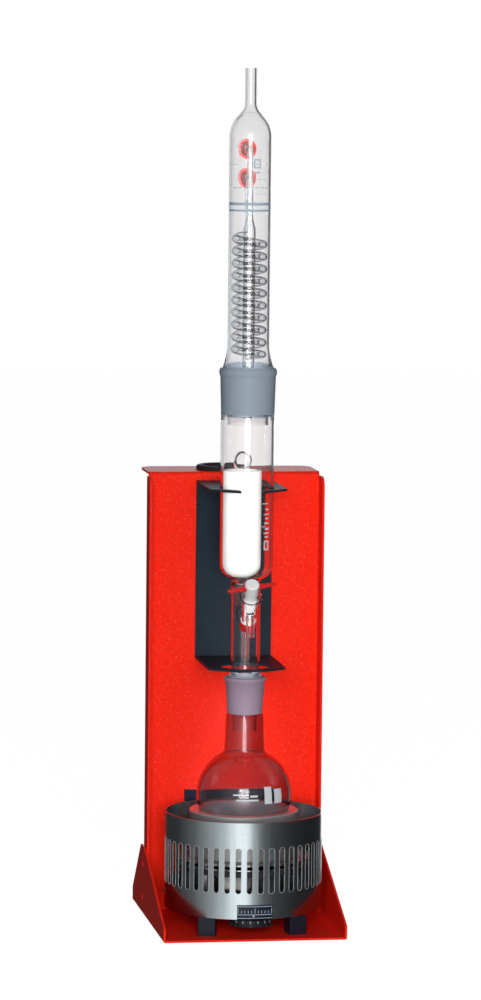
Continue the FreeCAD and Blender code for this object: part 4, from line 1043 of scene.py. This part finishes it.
@dataclass
class Prints:
    """Enamel and paint marks that lie on the glass, the scale plate and the dial."""

    finishes: Finishes
    lift: float = 0.02
    thickness: float = 0.10
    reach: float = 90.0
    step: float = 4.0
    sheets: tuple[Print, ...] = (
        Print("condenser_stripes", "condenser", "glass", "pale_blue_enamel", (
            Mark(-84.0, 66.0, 645.8, 648.3), Mark(-84.0, 66.0, 640.4, 642.2),
            Mark(-84.0, -81.0, 642.2, 645.8), Mark(63.0, 66.0, 642.2, 645.8),
            *(Mark(angle, angle + 9.0, 681.5, 682.1) for angle in (-84, -70, -56, 4, 40, 54)),
            *(Mark(angle, angle + 11.0, 661.2, 661.8)
              for angle in (-60, -44, -28, -12, 4, 20, 36, 50)),
            *(Mark(angle, angle + 7.0, 655.6, 656.2) for angle in (-20, -6, 8, 22, 36)),
            *(Mark(angle, angle + 8.0, 668.4, 669.0) for angle in (0, 14, 28)),
            *ring_of(1.0, 20.0, 678.5, 686.5, 1.1, 3.4),
            Mark(3.0, 19.0, 674.2, 675.4),
        )),
        Print("extractor_marks", "extractor", "glass", "white_enamel", (
            *ring_of(31.0, 45.0, 340.8, 349.2, 1.3, 3.2),
            Mark(33.0, 43.0, 352.0, 353.2), Mark(30.0, 45.0, 355.4, 356.5),
            Mark(34.0, 46.0, 358.8, 360.6), Mark(26.0, 34.0, 361.5, 362.3),
            Mark(32.0, 45.0, 364.0, 365.6), Mark(35.0, 44.0, 368.4, 369.6),
            Mark(30.0, 46.0, 372.2, 373.2), Mark(26.0, 42.0, 381.8, 382.7),
            Mark(36.0, 44.0, 376.4, 377.8),
        )),
        Print("flask_field", "flask", "glass", "white_enamel", (
            Mark(17.0, 27.0, 116.4, 131.6), Mark(31.0, 43.0, 116.4, 129.0),
            Mark(-22.0, -3.0, 124.2, 125.4), Mark(-18.0, 9.0, 119.6, 121.0),
            Mark(-1.0, 8.0, 123.0, 124.6),
        )),
        Print("scale_lines", "scale_plate", "scale_paint", "pale_marking_paint", (
            *ring_of(-14.6, 14.6, 19.3, 33.4, 0.4, 0.4),
            Mark(-12.9, 12.9, 29.6, 30.1), Mark(-12.9, 12.9, 22.4, 22.9),
            *(Mark(-12.5 + 2.5 * count, -12.1 + 2.5 * count, 24.0, 28.2 if count % 5 == 0 else 26.4)
              for count in range(11)),
            Mark(-1.9, 0.1, 20.1, 21.9, 0.1),
        )),
        Print("dial_ticks", "control_dial", "dial_plastic", "pale_marking_paint", tuple(
            Mark(angle - 0.9, angle + 0.9, 14.0, 16.2) for angle in range(-50, 55, 20)),
            Body.DIAL, (0.0, -47.0)),
    )

    def build(self) -> None:
        """Prints every set of marks."""
        for sheet in self.sheets:
            self.print_on(sheet)

    def print_on(self, sheet: Print) -> None:
        """Lays thin closed patches on the outer surface of a node.

        Args:
            sheet: the set of marks.
        """
        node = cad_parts[sheet.node]
        points = [node.matrix_world @ vertex.co for vertex in node.data.vertices]
        faces = [list(face.vertices) for face in node.data.polygons]
        skin = BVHTree.FromPolygons(points, faces)
        made = bmesh.new()
        for mark in sheet.marks:
            self.patch(made, skin, sheet, mark)
        finished(sheet.name, made, self.finishes.get(sheet.finish), sheet.body)

    def patch(self, made: bmesh.types.BMesh, skin: BVHTree, sheet: Print, mark: Mark) -> None:
        """Adds one closed patch to a mesh.

        Args:
            made: mesh that takes the patch.
            skin: surface that carries it.
            sheet: the set that the mark belongs to.
            mark: the mark.
        """
        columns = max(1, math.ceil((mark.right - mark.left) / self.step))
        rows = max(1, math.ceil((mark.high - mark.low) / self.step))
        middle = (mark.left + mark.right) / 2
        layers: list[dict[tuple[int, int], bmesh.types.BMVert]] = [{}, {}]
        for row in range(rows + 1):
            share = row / rows
            height = mark.low + (mark.high - mark.low) * share
            narrow = mark.taper + (1.0 - mark.taper) * share
            for column in range(columns + 1):
                angle = mark.left + (mark.right - mark.left) * column / columns
                place, out = self.seat(skin, sheet, middle + (angle - middle) * narrow, height)
                for layer, rise in zip(layers, (self.lift, self.lift + self.thickness)):
                    layer[row, column] = made.verts.new(place + out * rise * MM)
        for row in range(rows):
            for column in range(columns):
                ring = ((row, column), (row, column + 1), (row + 1, column + 1), (row + 1, column))
                made.faces.new([layers[1][key] for key in ring])
                made.faces.new([layers[0][key] for key in reversed(ring)])
        edge = [(0, column) for column in range(columns)]
        edge += [(row, columns) for row in range(rows)]
        edge += [(rows, column) for column in range(columns, 0, -1)]
        edge += [(row, 0) for row in range(rows, 0, -1)]
        below, above = layers
        for first, second in zip(edge, edge[1:] + edge[:1]):
            made.faces.new((below[first], below[second], above[second], above[first]))

    def seat(self, skin: BVHTree, sheet: Print, angle: float,
             height: float) -> tuple[Vector, Vector]:
        """Finds the point of a surface at an angle and a height.

        Args:
            skin: the surface.
            sheet: set that gives the axis.
            angle: degrees from the front toward the right.
            height: height in millimetres.

        Returns:
            The point and the direction away from the axis.
        """
        turn = math.radians(angle)
        out = Vector((math.sin(turn), -math.cos(turn), 0.0))
        axis = Vector((*sheet.centre, height)) * MM
        hit = skin.ray_cast(axis + out * self.reach * MM, -out)[0]
        if hit is None:
            raise ValueError(f"{sheet.name} misses {sheet.node} at {angle:.1f}, {height:.1f}")
        return hit, out


@dataclass(frozen=True)
class Lamp:
    """Square soft light: its place and side in metres and its power in watts."""

    name: str
    place: Place
    size: float
    power: float


@dataclass
class Studio:
    """Pale floor, soft lights and the camera of the photograph."""

    floor_size: float = 14.0
    floor_glow: float = 0.97
    floor_tone: float = 0.10
    floor_drop: float = 0.0003
    floor_cells: float = 3.0
    floor_shade: float = 0.97
    distance: float = 4.04855
    azimuth: float = 9.01
    height: float = 0.78344
    heading: float = 8.93
    tilt: float = 5.64
    roll: float = 0.59
    lens: float = 164.64
    sensor: float = 36.0
    near: float = 0.05
    far: float = 60.0
    aim: Place = (0.0, 0.05, 0.40)
    lamps: tuple[Lamp, ...] = (
        Lamp("key_light", (-0.42, -3.0, 0.64), 1.3, 90.0),
        Lamp("fill_light", (1.6, -2.4, 0.9), 1.6, 3.0),
        Lamp("top_light", (-0.2, 0.9, 2.6), 1.4, 2.0),
    )
    ambient: Colour = (0.065, 0.07, 0.085)
    ceiling: Colour = (0.16, 0.17, 0.19)
    ceiling_edge: Point = (0.22, 0.45)
    room_gloss: tuple[tuple[float, float], ...] = (
        (-180.0, 0.10),
        (-172.0, 0.03),
        (-150.0, 0.04),
        (-120.0, 0.04),
        (-85.0, 0.15),
        (-55.0, 0.48),
        (-35.0, 0.85),
        (-18.0, 1.60),
        (-1.0, 1.60),
        (5.0, 0.60),
        (18.0, 0.17),
        (36.0, 0.065),
        (66.0, 0.025),
        (105.0, 0.015),
        (148.0, 0.03),
        (160.0, 2.20),
        (174.0, 2.20),
        (180.0, 0.10),
    )
    room_through: tuple[tuple[float, Colour], ...] = (
        (0.00, (0.12, 0.20, 0.23)),
        (0.20, (0.26, 0.38, 0.43)),
        (0.38, (1.00, 1.00, 1.00)),
        (0.70, (1.00, 1.00, 1.00)),
        (0.80, (0.14, 0.16, 0.18)),
        (0.93, (0.02, 0.025, 0.03)),
    )

    def build(self) -> None:
        """Sets up the stage, the lights and the camera."""
        self.floor()
        self.world()
        for lamp in self.lamps:
            self.hang(lamp)
        self.camera()
        bpy.context.scene.view_settings.view_transform = "Standard"

    def floor(self) -> None:
        """Lays a large pale floor that glows a little, as a lit sweep does."""
        half = self.floor_size / 2
        mesh = bpy.data.meshes.new("studio_floor")
        points = [(-half, -half, 0.0), (half, -half, 0.0), (half, half, 0.0), (-half, half, 0.0)]
        mesh.from_pydata(points, [], [(0, 1, 2, 3)])
        piece = bpy.data.objects.new("studio_floor", mesh)
        bpy.context.scene.collection.objects.link(piece)
        bench = ShaderBench("pale_floor")
        bench.set(Roughness=0.9, Specular_IOR_Level=0.1, Emission_Color=(1.0, 1.0, 1.0),
                  Emission_Strength=self.floor_glow)
        pale = shade((1.0, 1.0, 1.0), self.floor_tone)
        bench.paint(bench.noise(self.floor_cells), pale, self.floor_shade)
        mesh.materials.append(bench.material)
        piece.location.z = -self.floor_drop
        piece.visible_glossy = False
        piece.visible_transmission = False
        piece.visible_diffuse = False

    def world(self) -> None:
        """Makes a plain room: white behind, brightest near the camera and dark on the right."""
        world = bpy.data.worlds.new("soft_room")
        world.use_nodes = True
        bpy.context.scene.world = world
        shine = world.node_tree.nodes["Background"].inputs
        bench = NodeBench(world.node_tree)
        way = bench.node("ShaderNodeTexCoord").outputs["Generated"]
        parts = bench.node("ShaderNodeSeparateXYZ", {"Vector": way}).outputs
        turn = bench.number("ARCTAN2", parts["X"], bench.number("MULTIPLY", parts["Y"], -1.0))
        round_about = bench.spread(turn, 0.0, 1.0, (-math.pi, math.pi))
        across = bench.spread(parts["X"], 0.0, 1.0, (-1.0, 1.0))
        gloss = bench.ramp(round_about, [
            (angle / 360.0 + 0.5, (tone * 0.98, tone, tone * 1.01))
            for angle, tone in self.room_gloss])
        through = bench.ramp(across, self.room_through)
        seen = bench.node("ShaderNodeLightPath").outputs
        first = bench.number("LESS_THAN", seen["Transmission Depth"], 0.5)
        mirrored = bench.number("MULTIPLY", seen["Is Glossy Ray"], first)
        room = bench.blend(mirrored, through, gloss)
        dim = bench.spread(bench.number("ABSOLUTE", parts["Z"]), 0.0, 1.0, self.ceiling_edge)
        room = bench.blend(dim, room, self.ceiling)
        room = bench.blend(seen["Is Diffuse Ray"], room, self.ambient)
        bench.feed(shine["Color"], bench.blend(seen["Is Camera Ray"], room, (1.0, 1.0, 1.0)))
        bench.feed(shine["Strength"], 1.0)

    def hang(self, lamp: Lamp) -> None:
        """Hangs a soft light that faces the unit and has no mirror image.

        Args:
            lamp: its sizes and power.
        """
        data = bpy.data.lights.new(lamp.name, "AREA")
        data.energy = lamp.power
        data.size = lamp.size
        light = bpy.data.objects.new(lamp.name, data)
        bpy.context.scene.collection.objects.link(light)
        light.location = lamp.place
        way = Vector(self.aim) - Vector(lamp.place)
        light.rotation_euler = way.to_track_quat("-Z", "Y").to_euler()
        light.visible_glossy = False

    def camera(self) -> None:
        """Sets the camera at the photograph's place, heading, tilt and roll."""
        turn = math.radians(self.azimuth)
        head = math.radians(self.heading)
        down = math.radians(self.tilt)
        lean = math.radians(self.roll)
        place = Vector((-self.distance * math.sin(turn), -self.distance * math.cos(turn),
                        self.height))
        ahead = Vector((math.sin(head) * math.cos(down), math.cos(head) * math.cos(down),
                        -math.sin(down)))
        right = Vector((math.cos(head), -math.sin(head), 0.0))
        up = right.cross(ahead)
        across = right * math.cos(lean) + up * math.sin(lean)
        upward = up * math.cos(lean) - right * math.sin(lean)
        data = bpy.data.cameras.new("photo_camera")
        data.sensor_fit = "VERTICAL"
        data.sensor_height = self.sensor
        data.sensor_width = self.sensor
        data.lens = self.lens
        data.clip_start = self.near
        data.clip_end = self.far
        camera = bpy.data.objects.new("photo_camera", data)
        bpy.context.scene.collection.objects.link(camera)
        facing = Matrix((across, upward, -ahead)).transposed().to_4x4()
        camera.matrix_world = Matrix.Translation(place) @ facing
        bpy.context.scene.camera = camera


def main() -> None:
    """Dresses the unit and sets up the studio."""
    logging.basicConfig(level=logging.INFO, format="%(message)s")
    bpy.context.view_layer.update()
    finishes = Finishes()
    parts = (Stand(finishes), Holder(finishes), Heater(finishes), Glassware(finishes),
             Fittings(finishes), Prints(finishes))
    for part in parts:
        LOG.info("building %s", type(part).__name__)
        part.build()
    Studio().build()


if __name__ == "__main__":
    main()
